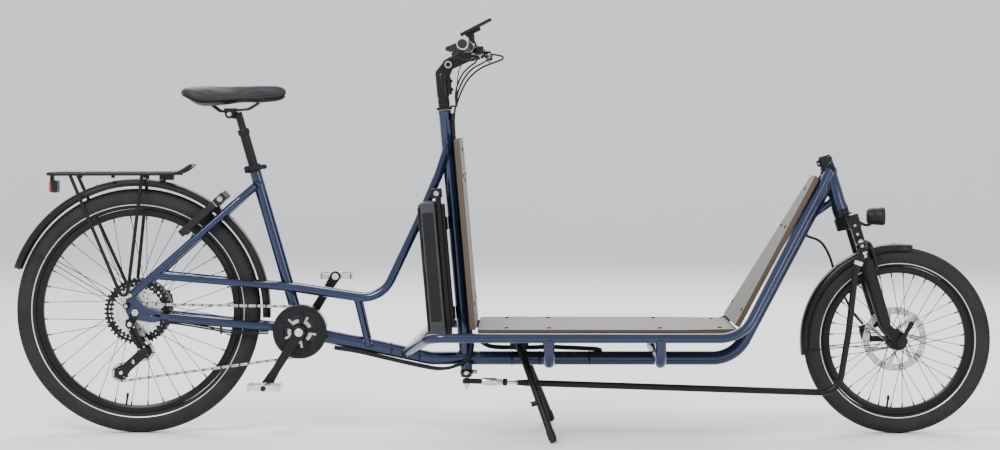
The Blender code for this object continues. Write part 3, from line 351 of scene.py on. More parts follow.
    def weld(self, host, host_axis, host_radius, branch, way, branch_radius, bead=0.0022):
        """A rippled bead where a round tube, through branch and along way, meets a round host tube."""
        way, host_axis = way.normalized(), host_axis.normalized()
        out = way.orthogonal().normalized()
        up = way.cross(out)
        points, radii = [], []
        flat_way = way - host_axis * way.dot(host_axis)
        for i in range(56):
            a = 2 * math.pi * i / 56
            start = branch + (out * math.cos(a) + up * math.sin(a)) * branch_radius
            reach = start - host
            flat = reach - host_axis * reach.dot(host_axis)
            b = flat.dot(flat_way)
            c = flat.dot(flat) - host_radius**2
            root = math.sqrt(max(0.0, b * b - flat_way.dot(flat_way) * c))
            points.append(start + way * ((-b - root) / flat_way.dot(flat_way)))
            radii.append(bead * (1 + 0.14 * (i % 2)))
        return self.tube(points, radii, 8, closed=True)


def link_outline(start, end, start_radius, end_radius, steps=12):
    """The outline of a bar with two round ends, in the XZ plane, as (x, z)."""
    heading = math.degrees(math.atan2(end.z - start.z, end.x - start.x))
    return arc((end.x, end.z), end_radius, heading - 90, heading + 90, steps) + arc(
        (start.x, start.z), start_radius, heading + 90, heading + 270, steps
    )


def gear_outline(teeth, root, tip, land=0.30, foot=0.62):
    """The outline of a sprocket with this many teeth."""
    outline = []
    for i in range(teeth):
        for share, radius in ((-foot / 2, root), (-land / 2, tip), (land / 2, tip), (foot / 2, root)):
            a = 2 * math.pi * (i + share) / teeth
            outline.append((radius * math.cos(a), radius * math.sin(a)))
    return outline


def window(inner, outer, first, last, steps=8):
    """The outline of a curved window between two radii and two angles."""
    return arc((0, 0), outer, first, last, steps) + arc((0, 0), inner, last, first, steps)


def piece(name, shape, looks, body, nodes=(), bevel=0.0, angle=35, segments=2):
    """Makes the object, which rides on a CAD body and stands for CAD nodes."""
    mesh = bpy.data.meshes.new(name)
    mesh.from_pydata(shape.points, [], shape.faces)
    for look in looks if isinstance(looks, (list, tuple)) else [looks]:
        mesh.materials.append(look)
    mesh.polygons.foreach_set("material_index", shape.looks)
    made = bmesh.new()
    made.from_mesh(mesh)
    bmesh.ops.recalc_face_normals(made, faces=made.faces)
    made.to_mesh(mesh)
    made.free()
    mesh.shade_smooth()
    mesh.set_sharp_from_angle(angle=math.radians(angle))
    obj = bpy.data.objects.new(name, mesh)
    bpy.context.scene.collection.objects.link(obj)
    if bevel:
        rounding = obj.modifiers.new("Rounding", "BEVEL")
        rounding.width = bevel
        rounding.segments = segments
        rounding.limit_method = "ANGLE"
        rounding.angle_limit = math.radians(40)
        rounding.harden_normals = True
    if body:
        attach(obj, body)
    if nodes:
        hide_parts(*nodes)
    return obj


# ---------------------------------------------------------------- materials


def add_node(tree, kind, **values):
    made = tree.nodes.new(kind)
    for key, value in values.items():
        socket = key.replace("_", " ")
        if socket in made.inputs:
            made.inputs[socket].default_value = value
        else:
            setattr(made, key, value)
    return made


def finish(name, colour, roughness, metallic=0.0, spread=0.10, patch=7.0, grain=600.0, bump=0.08,
           depth=0.0004, rough_spread=0.08, stretch=(1, 1, 1), cells=False, **sockets):
    """A surface with uneven colour and roughness and a fine bump; patch and grain are features per metre."""
    made = bpy.data.materials.new(name)
    made.use_nodes = True
    tree = made.node_tree
    shader = tree.nodes["Principled BSDF"]
    shader.inputs["Metallic"].default_value = metallic
    for key, value in sockets.items():
        shader.inputs[key.replace("_", " ")].default_value = value
    place = add_node(tree, "ShaderNodeTexCoord")
    scaled = add_node(tree, "ShaderNodeMapping", Scale=stretch)
    tree.links.new(place.outputs["Object"], scaled.inputs["Vector"])
    patches = add_node(tree, "ShaderNodeTexNoise", Scale=patch, Detail=5.0, Roughness=0.6)
    tree.links.new(place.outputs["Object"], patches.inputs["Vector"])
    if cells:
        fine = add_node(tree, "ShaderNodeTexVoronoi", Scale=grain)
        height = fine.outputs["Distance"]
    else:
        fine = add_node(tree, "ShaderNodeTexNoise", Scale=grain, Detail=3.0)
        height = fine.outputs["Fac"]
    tree.links.new(scaled.outputs["Vector"], fine.inputs["Vector"])
    tint = add_node(tree, "ShaderNodeValToRGB")
    tint.color_ramp.elements[0].position = 0.3
    tint.color_ramp.elements[1].position = 0.7
    tint.color_ramp.elements[0].color = (*(c * (1 - spread) for c in colour), 1)
    tint.color_ramp.elements[1].color = (*(min(1.0, c * (1 + spread)) for c in colour), 1)
    tree.links.new(patches.outputs["Fac"], tint.inputs["Fac"])
    tree.links.new(tint.outputs["Color"], shader.inputs["Base Color"])
    rough = add_node(tree, "ShaderNodeMapRange", To_Min=max(0.02, roughness - rough_spread),
                     To_Max=roughness + rough_spread)
    tree.links.new(height, rough.inputs["Value"])
    tree.links.new(rough.outputs["Result"], shader.inputs["Roughness"])
    relief = add_node(tree, "ShaderNodeBump", Strength=bump, Distance=depth)
    tree.links.new(height, relief.inputs["Height"])
    tree.links.new(relief.outputs["Normal"], shader.inputs["Normal"])
    return made


PAINT = finish("metallic_blue_paint", (0.0095, 0.0190, 0.0560), 0.24, 0.55, 0.10, 5, 2600, 0.05, 0.0001, 0.05,
               Specular_IOR_Level=0.3, Coat_Weight=0.6, Coat_Roughness=0.05)
SATIN = finish("satin_black_coat", (0.0080, 0.0080, 0.0090), 0.34, 0.1, 0.15, 6, 900, 0.10, 0.0002,
               Specular_IOR_Level=0.22)
ANODISED = finish("black_anodised", (0.013, 0.013, 0.015), 0.32, 0.55, 0.15, 9, 1400, 0.06, 0.0001,
                  Specular_IOR_Level=0.25)
PLASTIC = finish("moulded_black_plastic", (0.0100, 0.0100, 0.0110), 0.46, 0.0, 0.12, 8, 1500, 0.22, 0.0002,
                 cells=True, Specular_IOR_Level=0.22)
DARK_GREY = finish("dark_grey_cover", (0.038, 0.039, 0.042), 0.40, 0.25, 0.10, 8, 1100, 0.10, 0.0002)
RUBBER = finish("black_rubber", (0.0100, 0.0100, 0.0105), 0.60, 0.0, 0.20, 14, 700, 0.20, 0.0003,
                Specular_IOR_Level=0.22)
TYRE = finish("tyre_rubber", (0.015, 0.015, 0.0155), 0.74, 0.0, 0.25, 16, 500, 0.25, 0.0004,
              Specular_IOR_Level=0.25)
STRIPE = finish("reflective_stripe", (0.62, 0.63, 0.64), 0.35, 0.3, 0.06, 20, 900, 0.10, 0.0002)
SILVER = finish("brushed_silver", (0.70, 0.70, 0.71), 0.28, 1.0, 0.06, 12, 260, 0.10, 0.0002,
                stretch=(1, 9, 1))
STEEL = finish("plain_steel", (0.52, 0.52, 0.53), 0.30, 1.0, 0.12, 30, 700, 0.12, 0.0002)
CHAIN_STEEL = finish("oiled_steel", (0.50, 0.49, 0.47), 0.32, 1.0, 0.30, 90, 700, 0.12, 0.0002)
DARK_STEEL = finish("dark_steel", (0.060, 0.060, 0.062), 0.36, 0.9, 0.20, 60, 700, 0.12, 0.0002)
GLASS = finish("clear_lens", (0.92, 0.93, 0.94), 0.06, 0.0, 0.02, 10, 60, 0.10, 0.0010, 0.02,
               Transmission_Weight=0.75, IOR=1.49)
SCREEN = finish("dark_screen", (0.012, 0.013, 0.015), 0.10, 0.0, 0.05, 10, 200, 0.02, 0.0001, 0.03,
                Coat_Weight=0.6)
RED_LENS = finish("red_lens", (0.30, 0.012, 0.012), 0.15, 0.0, 0.10, 10, 500, 0.20, 0.0006, cells=True,
                  Coat_Weight=0.6)
SKIN = finish("saddle_skin", (0.022, 0.0225, 0.0245), 0.50, 0.0, 0.10, 9, 620, 0.30, 0.0004, cells=True,
              Specular_IOR_Level=0.25)
GRIP = finish("grip_rubber", (0.012, 0.012, 0.013), 0.60, 0.0, 0.12, 12, 800, 0.25, 0.0003,
              Specular_IOR_Level=0.25)


def board_finish():
    """Coated plywood: a pressed mesh on its faces, and the plies on its edges by how far through they lie."""
    made = finish("coated_plywood", (0.150, 0.144, 0.126), 0.62, 0.0, 0.05, 3.5, 420, 0.30, 0.0003, 0.06,
                  cells=True)
    edge = finish("plywood_edge", (0.060, 0.040, 0.026), 0.75, 0.0, 0.20, 12, 900, 0.25, 0.0003)
    tree = edge.node_tree
    shader = tree.nodes["Principled BSDF"]
    through = add_node(tree, "ShaderNodeAttribute", attribute_name="through")
    plies = add_node(tree, "ShaderNodeMath", operation="MULTIPLY")
    plies.inputs[1].default_value = math.pi * 7
    wave = add_node(tree, "ShaderNodeMath", operation="SINE")
    shades = add_node(tree, "ShaderNodeValToRGB")
    shades.color_ramp.elements[0].color = (0.030, 0.020, 0.014, 1)
    shades.color_ramp.elements[1].color = (0.120, 0.080, 0.050, 1)
    tree.links.new(through.outputs["Fac"], plies.inputs[0])
    tree.links.new(plies.outputs[0], wave.inputs[0])
    tree.links.new(wave.outputs[0], shades.inputs["Fac"])
    tree.links.new(shades.outputs["Color"], shader.inputs["Base Color"])
    return made, edge


BOARD, BOARD_EDGE = board_finish()

# ---------------------------------------------------------------- camera and light


def make_stage():
    """A pale floor that sweeps up behind the bicycle, under soft lamps."""
    turns = [math.pi / 2 * k / 16 for k in range(17)]
    curve = [(9 + 4 * math.sin(a), 4 - 4 * math.cos(a)) for a in turns]
    rows = [(-30, 0), *curve, (13, 30)]
    points = [(x, y, z) for y, z in rows for x in (-30, 30)]
    faces = [(2 * k, 2 * k + 1, 2 * k + 3, 2 * k + 2) for k in range(len(rows) - 1)]
    floor = bpy.data.meshes.new("floor")
    floor.from_pydata(points, [], faces)
    floor.materials.append(finish("pale_floor", (0.86, 0.865, 0.87), 0.60, 0.0, 0.01, 0.8, 60, 0.02, 0.0004))
    floor.shade_smooth()
    ground = bpy.data.objects.new("floor", floor)
    bpy.context.scene.collection.objects.link(ground)
    world = bpy.data.worlds.new("soft_studio")
    world.use_nodes = True
    world.node_tree.nodes["Background"].inputs["Color"].default_value = (0.95, 0.97, 1.0, 1)
    world.node_tree.nodes["Background"].inputs["Strength"].default_value = 1.1
    bpy.context.scene.world = world
    lamps = (
        ("key_light", (-2.2, -4.2, 4.6), 2.0, 330),
        ("fill_light", (3.8, -3.6, 2.6), 2.4, 80),
        ("back_light", (0.5, 4.5, 5.0), 6.0, 420),
    )
    for name, place, size, power in lamps:
        data = bpy.data.lights.new(name, "AREA")
        data.size = size
        data.energy = power
        lamp = bpy.data.objects.new(name, data)
        lamp.location = place
        lamp.rotation_euler = (Vector((0, 0, 0.5)) - Vector(place)).to_track_quat("-Z", "Y").to_euler()
        bpy.context.scene.collection.objects.link(lamp)


def make_camera():
    data = bpy.data.cameras.new("camera")
    data.sensor_width = 36
    data.lens = 97.2
    data.clip_end = 100
    camera = bpy.data.objects.new("camera", data)
    camera.location = (0.065 + MIDDLE, -7.5, 0.876)
    target = Vector((0.0013 + MIDDLE, 0, 0.579))
    camera.rotation_euler = (target - camera.location).to_track_quat("-Z", "Y").to_euler()
    bpy.context.scene.collection.objects.link(camera)
    bpy.context.scene.camera = camera


# ---------------------------------------------------------------- frame

MAIN_TUBE = [row(-0.520, 0, 0.2757), row(-0.3914, 0, 0.2511), row(-0.192, 0, MAIN_TUBE_LEVEL)]
MAIN_TUBE += [row(0.6535, 0, MAIN_TUBE_LEVEL), at_fork(0.0980)]
SEAT_STAY = [row(-1.0144, 0.075, 0.3887), row(-0.720, 0.0345, 0.650), row(-0.680, 0.0125, 0.6855)]
CHAIN_STAY = [row(-0.915, 0.0700, 0.3245), row(-0.700, 0.0435, 0.3035), row(-0.590, 0.0240, 0.293)]
UPPER_TUBE = [row(-0.9560, 0.0680, 0.4412), row(-0.660, 0.0435, 0.4143), row(-0.612, 0.0290, 0.4100)]
UPPER_TUBE += [row(-0.560, 0.0290, 0.4042), row(-0.328, 0.0290, 0.3700), row(-0.2278, 0.0135, 0.5817)]
UPPER_TUBE += [row(-0.1690, 0.0135, 0.7190), row(-0.1420, 0.0135, 0.7998)]
UPPER_TUBE_BENDS = [0.02, 0.02, 0.02, 0.085, 0.10, 0.10]


def make_main_tube():
    shape = Shape().tube(bent(MAIN_TUBE, [0.30, 0.12, 0.10], 16), MAIN_TUBE_RADIUS, 36, side=ACROSS)
    way = MAIN_TUBE[4] - MAIN_TUBE[3]
    shape.weld(HEAD_BOTTOM, HEAD_AXIS, 0.0212, MAIN_TUBE[3], way, MAIN_TUBE_RADIUS)
    for x in HOOP_PLACES:
        for side in (-1, 1):
            start = row(x, side * 0.1, HOOP_LEVEL)
            shape.weld(row(x, 0, MAIN_TUBE_LEVEL), Vector((1, 0, 0)), MAIN_TUBE_RADIUS, start,
                       ACROSS * -side, HOOP_RADIUS, 0.0018)
    shape.weld(row(-0.09, 0, MAIN_TUBE_LEVEL), Vector((1, 0, 0)), MAIN_TUBE_RADIUS, at_column(0.2),
               -COLUMN_AXIS, COLUMN_RADIUS)
    piece("main_tube_painted", shape, PAINT, "frame", ["main_tube"])
    clips = Shape()
    for x in (-0.222, -0.300, 0.035, 0.112, 0.250):
        level = MAIN_TUBE_LEVEL + max(0.0, (-0.192 - x) * 0.22)
        band = [row(x, MAIN_TUBE_RADIUS * math.sin(a) * 1.05, level + MAIN_TUBE_RADIUS * math.cos(a) * 1.05)
                for a in (2 * math.pi * k / 40 for k in range(40))]
        clips.tube(band, 0.0016, 8, closed=True, side=Vector((1, 0, 0)), flat=0.5)
        clips.block((0.007, 0.006, 0.007), stood(row(x, -MAIN_TUBE_RADIUS - 0.002, level)))
    piece("main_tube_ties", clips, RUBBER, "frame", bevel=0.0006)


def make_head_tube():
    cup = [(0.0153, 0), (0.0228, 0), (0.0230, 0.002), (0.0230, 0.013), (0.0212, 0.0165), (0.0208, 0.020)]
    high = [(r, HEAD_LENGTH - h) for r, h in reversed(cup)]
    shape = Shape().turned(cup + high, facing(HEAD_BOTTOM, HEAD_AXIS), 48, closed=True)
    foot, top = row(0.8800, 0, 0.6140), at_fork(0.030, -0.018)
    shape.rod(foot, top, 0.0100, 28)
    shape.weld(HEAD_BOTTOM, HEAD_AXIS, 0.0210, foot, top - foot, 0.0100, 0.0016)
    shape.weld(MAIN_TUBE[3], MAIN_TUBE[4] - MAIN_TUBE[3], MAIN_TUBE_RADIUS, top, foot - top, 0.0100, 0.0016)
    piece("head_tube_painted", shape, PAINT, "frame", ["head_tube"])
    rings = Shape()
    for low, radius in ((-0.0006, 0.0229), (HEAD_LENGTH - 0.0055, 0.0232)):
        profile = [(0.0155, low), (radius, low), (radius + 0.0003, low + 0.003), (radius, low + 0.006),
                   (0.0155, low + 0.006)]
        rings.turned(profile, facing(HEAD_BOTTOM, HEAD_AXIS), 48, closed=True)
    piece("head_cups", rings, ANODISED, "frame")


def make_column():
    top = COLUMN_LENGTH
    profile = [(0.0135, 0.0075), (0.0150, 0.0075), (COLUMN_RADIUS, 0.0095), (COLUMN_RADIUS, top - 0.012),
               (0.0178, top - 0.010)]
    profile += [(0.0180, top - 0.0030), (0.0135, top - 0.0030)]
    shape = Shape().turned(profile, facing(COLUMN_BOTTOM, COLUMN_AXIS), 40, closed=True)
    piece("column_painted", shape, PAINT, "frame", ["steering_tube"])
    ring = [(0.0135, top - 0.0028), (0.0185, top - 0.0028), (0.0185, top - 0.0008), (0.0180, top),
            (0.0135, top)]
    piece("column_bearing", Shape().turned(ring, facing(COLUMN_BOTTOM, COLUMN_AXIS), 40, closed=True),
          ANODISED, "frame")
    port = Shape()
    outline = arc((0, 0.066), 0.0075, 0, 180, 8) + arc((0, -0.066), 0.0075, 180, 360, 8)
    columns = Matrix((ACROSS, COLUMN_AXIS, ACROSS.cross(COLUMN_AXIS))).transposed().to_4x4()
    port.prism(outline, 0.003, Matrix.Translation(at_column(0.590, COLUMN_RADIUS + 0.0018)) @ columns)
    for height in (0.535, 0.590, 0.645):
        port.bolt(at_column(height, COLUMN_RADIUS + 0.003), forward_of(COLUMN_AXIS), 0.0034, 0.0024)
    piece("column_flange", port, PAINT, "frame", bevel=0.0008)
    guide = Shape().block((0.010, 0.020, 0.022), stood(at_column(0.712, 0.0222, -0.008), lean(COLUMN_AXIS)))
    piece("cable_guide", guide, PLASTIC, "frame", bevel=0.003)


def make_side_rails():
    for word, side in SIDES.items():
        corners = [row(-0.262, side * 0.010, 0.2215), row(-0.186, side * RAIL_SPREAD, RAIL_LEVEL)]
        corners += [row(0.6545, side * RAIL_SPREAD, RAIL_LEVEL), row(0.9140, side * 0.0205, 0.7305)]
        shape = Shape().tube(bent(corners, [0.055, 0.10], 14), RAIL_RADIUS, 28)
        shape.weld(HEAD_BOTTOM, HEAD_AXIS, 0.0212, corners[2], corners[3] - corners[2], RAIL_RADIUS, 0.0018)
        tube_way = row(-0.3914, 0, 0.2511) - row(-0.192, 0, 0.207)
        shape.weld(row(-0.192, 0, 0.207), tube_way, MAIN_TUBE_RADIUS, corners[1], corners[0] - corners[1],
                   RAIL_RADIUS, 0.0018)
        piece(f"side_rail_{word}_painted", shape, PAINT, "frame", [f"side_rail_{word}"])


def make_hoops():
    for name, x in zip(("deck_hoop_rear", "deck_hoop_front"), HOOP_PLACES):
        corners = [row(x, -RAIL_SPREAD, RAIL_LEVEL - 0.006), row(x, -RAIL_SPREAD, HOOP_LEVEL)]
        corners += [mirrored(point) for point in reversed(corners)]
        shape = Shape().tube(bent(corners, 0.030, 10), HOOP_RADIUS, 28)
        for side in (-1, 1):
            shape.weld(row(x, side * RAIL_SPREAD, RAIL_LEVEL), Vector((1, 0, 0)), RAIL_RADIUS,
                       row(x, side * RAIL_SPREAD, 0.23), UP, 0.0112, 0.0018)
        piece(f"{name}_painted", shape, PAINT, "frame", [name])
    clip = Shape()
    clip.block((0.012, 0.020, 0.030), stood(row(HOOP_PLACES[1] + 0.020, -0.030, 0.245)))
    piece("deck_clip", clip, PLASTIC, "frame", bevel=0.002)


def make_seat_tube():
    profile = [(0, 0.045), (SEAT_TUBE_RADIUS, 0.045), (SEAT_TUBE_RADIUS, 0.458), (0.0140, 0.458),
               (0.0140, 0.454), (0, 0.454)]
    shape = Shape().turned(profile, facing(BOTTOM_BRACKET, SEAT_DIRECTION), 40)
    shape.weld(BOTTOM_BRACKET, ACROSS, 0.0675, at_seat(0.2), -SEAT_DIRECTION, SEAT_TUBE_RADIUS)
    piece("seat_tube_painted", shape, PAINT, "frame", ["seat_tube"])
    collar = Shape()
    profile = [(0.0140, 0.459), (0.0190, 0.459), (0.0195, 0.461), (0.0195, 0.477), (0.0190, 0.479),
               (0.0140, 0.479)]
    collar.turned(profile, facing(BOTTOM_BRACKET, SEAT_DIRECTION), 40, closed=True)
    collar.block((0.014, 0.014, 0.016), stood(at_seat(0.469, -0.0205, -0.004), lean(SEAT_DIRECTION)))
    piece("seat_collar", collar, ANODISED, "frame", bevel=0.0008)


def make_upper_tubes():
    for word, side in SIDES.items():
        route = [mirrored(point, side) for point in UPPER_TUBE]
        points = bent(route, UPPER_TUBE_BENDS, 10)
        widths = [0.0096 if p.x < row(-0.615, 0, 0).x else 0.0120 for p in points]
        shape = Shape().tube(points, widths, 28)
        strut_top, strut_foot = row(-0.395, side * 0.029, 0.380), row(-0.364, side * 0.014, 0.246)
        shape.rod(strut_foot, strut_top, 0.0105, 24)
        upper_way = route[4] - route[3]
        shape.weld(route[3], upper_way, 0.0120, strut_foot, strut_top - strut_foot, 0.0105, 0.0016)
        main_way = row(-0.44, 0, 0.2604) - row(-0.30, 0, 0.231)
        shape.weld(row(-0.30, 0, 0.231), main_way, MAIN_TUBE_RADIUS, strut_top, strut_foot - strut_top,
                   0.0105, 0.0016)
        shape.weld(COLUMN_BOTTOM, COLUMN_AXIS, COLUMN_RADIUS, route[6], route[7] - route[6], 0.0120, 0.0018)
        stay_way = mirrored(SEAT_STAY[1], side) - mirrored(SEAT_STAY[0], side)
        shape.weld(mirrored(SEAT_STAY[0], side), stay_way, STAY_RADIUS, route[1], route[0] - route[1],
                   0.0096, 0.0014)
        piece(f"upper_tube_{word}_painted", shape, PAINT, "frame", [f"upper_tube_{word}"])


def make_stays():
    for word, side in SIDES.items():
        route = [mirrored(point, side) for point in SEAT_STAY]
        shape = Shape().tube(bent(route, 0.03, 8), STAY_RADIUS, 28)
        shape.weld(BOTTOM_BRACKET, SEAT_DIRECTION, SEAT_TUBE_RADIUS, route[1], route[2] - route[1],
                   STAY_RADIUS, 0.0018)
        piece(f"seat_stay_{word}_painted", shape, PAINT, "frame", [f"seat_stay_{word}"])
        route = [mirrored(point, side) for point in CHAIN_STAY]
        shape = Shape().tube(bent(route, 0.05, 8), 0.012, 28)
        low, high = sorted((side * 0.0675, side * 0.0755))
        outline = [(-0.905, 0.318), (-0.960, 0.312), (-1.020, 0.322), (-1.032, 0.345), (-1.030, 0.376),
                   (-1.012, 0.386)]
        outline += [(-0.998, 0.376), (-0.975, 0.352), (-0.915, 0.334)]
        plate = [(x + MIDDLE, z) for x, z in outline]
        axle = circle(0.0085, 20, (REAR_AXLE.x, REAR_AXLE.z))
        slot_hole = circle(0.0050, 14, (row(-0.962, 0, 0).x, 0.3285))
        shape.pierced([plate, axle, slot_hole], high - low, across_y(ACROSS * (low + high) / 2))
        piece(f"chain_stay_{word}_painted", shape, PAINT, "frame", [f"chain_stay_{word}"],
              bevel=0.0008)
    axle = Shape()
    for side in (-1, 1):
        axle.nut(REAR_AXLE + ACROSS * side * 0.0756, ACROSS * side, 0.0105, 0.0060)
        axle.rod(REAR_AXLE + ACROSS * side * 0.0755, REAR_AXLE + ACROSS * side * 0.0665, 0.0082, 24)
    piece("rear_axle_nuts", axle, STEEL, "frame")
    make_caliper("rear_caliper", row(-0.934, 0.0615, 0.366), Matrix.Rotation(math.radians(-8), 4, "Y"),
                 "frame", 1)


def make_caliper(name, centre, turn, body, out):
    """A disc brake caliper whose rotor slot faces inwards; out is the side it stands towards."""
    shape = Shape()
    where = Matrix.Translation(centre) @ turn
    shape.block((0.024, 0.0100, 0.052), where @ Matrix.Translation((0, out * 0.0010, 0)))
    shape.block((0.030, 0.0060, 0.030), where @ Matrix.Translation((0.001, out * 0.0040, 0)))
    for height in (-0.021, 0.021):
        shape.bolt(where @ Vector((0, out * 0.006, height)), ACROSS * out, 0.0042, 0.0032)
    shape.turned([(0.009, 0), (0.009, 0.0035), (0.0075, 0.0045), (0, 0.0045)],
                 facing(where @ Vector((0, out * 0.006, 0)), ACROSS * out), 24)
    piece(name, shape, SATIN, body, bevel=0.0016)


def make_motor():
    low, high = -0.0400, 0.0500
    profile = [(0.0130, -high), (0.0480, -high), (0.0500, -high + 0.002), (0.0600, -high + 0.003),
               (0.0655, -high + 0.008)]
    profile += [(0.0660, -0.006), (0.0648, -0.0045), (0.0648, -0.0025), (0.0660, -0.001),
                (0.0655, -low - 0.008)]
    profile += [(0.0600, -low - 0.003), (0.0500, -low - 0.002), (0.0480, -low), (0.0130, -low)]
    shape = Shape().turned(profile, across_y(BOTTOM_BRACKET), 72, closed=True)
    for k in range(9):
        where = Matrix.Translation(BOTTOM_BRACKET) @ Matrix.Rotation(math.radians(62 + 14 * k), 4, "Y")
        shape.block((0.003, 0.070, 0.012), where @ Matrix.Translation((0.0, 0.005, 0.0635)))
    piece("motor_housing", shape, DARK_GREY, "frame", ["motor"], bevel=0.0010)
    bolts = Shape()
    for k in range(8):
        for y, way in ((low + 0.0028, -ACROSS), (high - 0.0028, ACROSS)):
            bolts.bolt(BOTTOM_BRACKET + unit(22 + 45 * k) * 0.0555 + ACROSS * y, way, 0.0042, 0.0040)
    piece("motor_bolts", bolts, SILVER, "frame")
    bracket = Shape()
    outline = arc((0, 0), 0.0705, -4, 196, 40) + arc((0, 0), 0.0663, 196, -4, 40)
    bracket.prism(outline, 0.060, across_y(BOTTOM_BRACKET + ACROSS * 0.004))
    for angle in (8, 60, 150, 188):
        for side in (-1, 1):
            base = BOTTOM_BRACKET + unit(angle) * 0.0630 + ACROSS * (0.004 + side * 0.0300)
            bracket.turned([(0.0085, 0), (0.0085, 0.005), (0, 0.005)], facing(base, ACROSS * side), 24)
    piece("motor_bracket", bracket, PAINT, "frame", bevel=0.0012)


# ---------------------------------------------------------------- wheels


def make_tyre(word, axle, radius, rim_inside):
    half, steps, knobs = 0.0275, 160, 110
    bead = rim_inside + RIM_DEPTH
    centre = radius - half * 0.98
    profile = [(bead + 0.0010, 0.0118), (bead + 0.0035, 0.0150)]
    stripe_low, stripe_high = centre - 0.0215 + 0.002, centre - 0.0175 + 0.002
    for r in (stripe_low, stripe_low + 0.0008, stripe_high - 0.0008, stripe_high):
        swell = math.sqrt(max(0.0, 1 - ((centre - r) / 0.0285) ** 2))
        lift = 0.0003 if r in (stripe_low, stripe_high) else 0.0006
        profile.append((r, half * swell * 0.96 + lift))
    for a in range(-26, 56, 9):
        profile.append((centre + half * 0.98 * math.sin(math.radians(a)), half * math.cos(math.radians(a))))
    for y in (0.0135, 0.0125, 0.0110, 0.0098, 0.0055, 0.0045, 0.0030, 0.0020):
        crown = radius - 0.0030 * (y / 0.0135) ** 2
        groove = 0.0018 if y in (0.0125, 0.0110, 0.0045, 0.0030) else 0.0
        profile.append((crown - groove, y))
    section = profile + [(r, -y) for r, y in reversed(profile)]
    shape = Shape().turned(section, across_y(axle), steps, closed=True)
    for i in range(len(shape.faces)):
        if i // steps in (3, len(section) - 5):
            shape.looks[i] = 1
    for i in range(knobs):
        for side in (-1, 1):
            turn = Matrix.Translation(axle) @ Matrix.Rotation(2 * math.pi * (i + 0.25 * side) / knobs, 4, "Y")
            tilt = Matrix.Rotation(math.radians(side * 38), 4, "X")
            place = Matrix.Translation((0, side * 0.0182, radius - 0.0096))
            knob = turn @ place @ tilt @ Matrix.Rotation(side * 0.35, 4, "Z")
            shape.block((0.0085, 0.0075, 0.0052), knob)
    return piece(f"{word}_tyre_rubber", shape, [TYRE, STRIPE], f"{word}_wheel", [f"{word}_tyre"],
                 angle=50)


def make_rim(word, axle, inside):
    low, high = inside, inside + RIM_DEPTH
    profile = [(low, 0.0045), (low + 0.0008, 0.0085), (low + 0.006, 0.0120), (low + 0.011, 0.0128),
               (high - 0.001, 0.0130)]
    profile += [(high, 0.0122), (high, 0.0108), (high - 0.004, 0.0104), (high - 0.006, 0.0060)]
    section = profile + [(r, -y) for r, y in reversed(profile)]
    shape = Shape().turned(section, across_y(axle), 144, closed=True)
    valve = axle + unit(262) * (low + 0.001)
    shape.turned([(0.0030, 0), (0.0030, 0.020), (0.0040, 0.021), (0.0040, 0.030), (0.0025, 0.033),
                  (0, 0.033)],
                 facing(valve, axle - valve), 14)
    return piece(f"{word}_rim_anodised", shape, ANODISED, f"{word}_wheel", [f"{word}_rim"])


def make_spokes(word, axle, inside, flanges, holes, count=36, cross=60):
    shape = Shape()
    for i in range(count):
        side = i % 2
        lead = 1 if (i // 2) % 2 else -1
        rim_angle = 360 * (i + 0.5) / count
        hub_angle = rim_angle + lead * cross
        y, radius = flanges[side], holes[side]
        inner = axle + unit(hub_angle) * radius + ACROSS * (y + lead * 0.0016)
        outer = axle + unit(rim_angle) * (inside + 0.002) + ACROSS * (0.003 if y > 0 else -0.003)
        shape.rod(inner, outer, 0.0010, 8)
        way = (outer - inner).normalized()
        shape.rod(outer - way * 0.0125, outer, 0.0021, 8)
        shape.turned([(0, -0.001), (0.0019, -0.0006), (0.0019, 0.0006), (0, 0.001)], facing(inner, ACROSS), 8)
    piece(f"{word}_spokes_laced", shape, ANODISED, f"{word}_wheel")


def make_rotor(word, axle, y, hub_radius):
    edge = [((0.0893 + 0.0006 * math.cos(14 * a)) * math.cos(a),
             (0.0893 + 0.0006 * math.cos(14 * a)) * math.sin(a))
            for a in (2 * math.pi * k / 168 for k in range(168))]
    outlines = [edge, circle(hub_radius, 36)]
    for k in range(7):
        first = 360 / 7 * k
        swirl = arc((0, 0), 0.0705, first + 6, first + 360 / 7 - 5, 8)
        swirl += arc((0, 0), 0.0300, first + 360 / 7 + 20, first + 33, 6)
        outlines.append(swirl)
        for ring, shift in ((0.0750, 4), (0.0793, 17), (0.0838, 30)):
            for step in (0, 25.7):
                angle = math.radians(first + shift + step)
                outlines.append(circle(0.0019, 8, (ring * math.cos(angle), ring * math.sin(angle))))
    shape = Shape().pierced(outlines, 0.0019, across_y(axle + ACROSS * y))
    piece(f"{word}_rotor", shape, STEEL, f"{word}_wheel")
    carrier = Shape()
    carrier.turned([(hub_radius * 0.7, -0.001), (0.0225, -0.001), (0.0225, 0.001), (hub_radius * 0.7, 0.002)],
                   facing(axle + ACROSS * (y + 0.002), ACROSS), 36, closed=True)
    for k in range(6):
        carrier.bolt(axle + ACROSS * (y + 0.0022) + unit(60 * k) * 0.0185, ACROSS, 0.0026, 0.0014)
    piece(f"{word}_rotor_carrier", carrier, ANODISED, f"{word}_wheel")


def make_hub(word, axle, profile):
    shape = Shape().turned([(r, -y) for y, r in profile], across_y(axle), 48, closed=True)
    return piece(f"{word}_hub_shell", shape, ANODISED, f"{word}_wheel", [f"{word}_hub"])


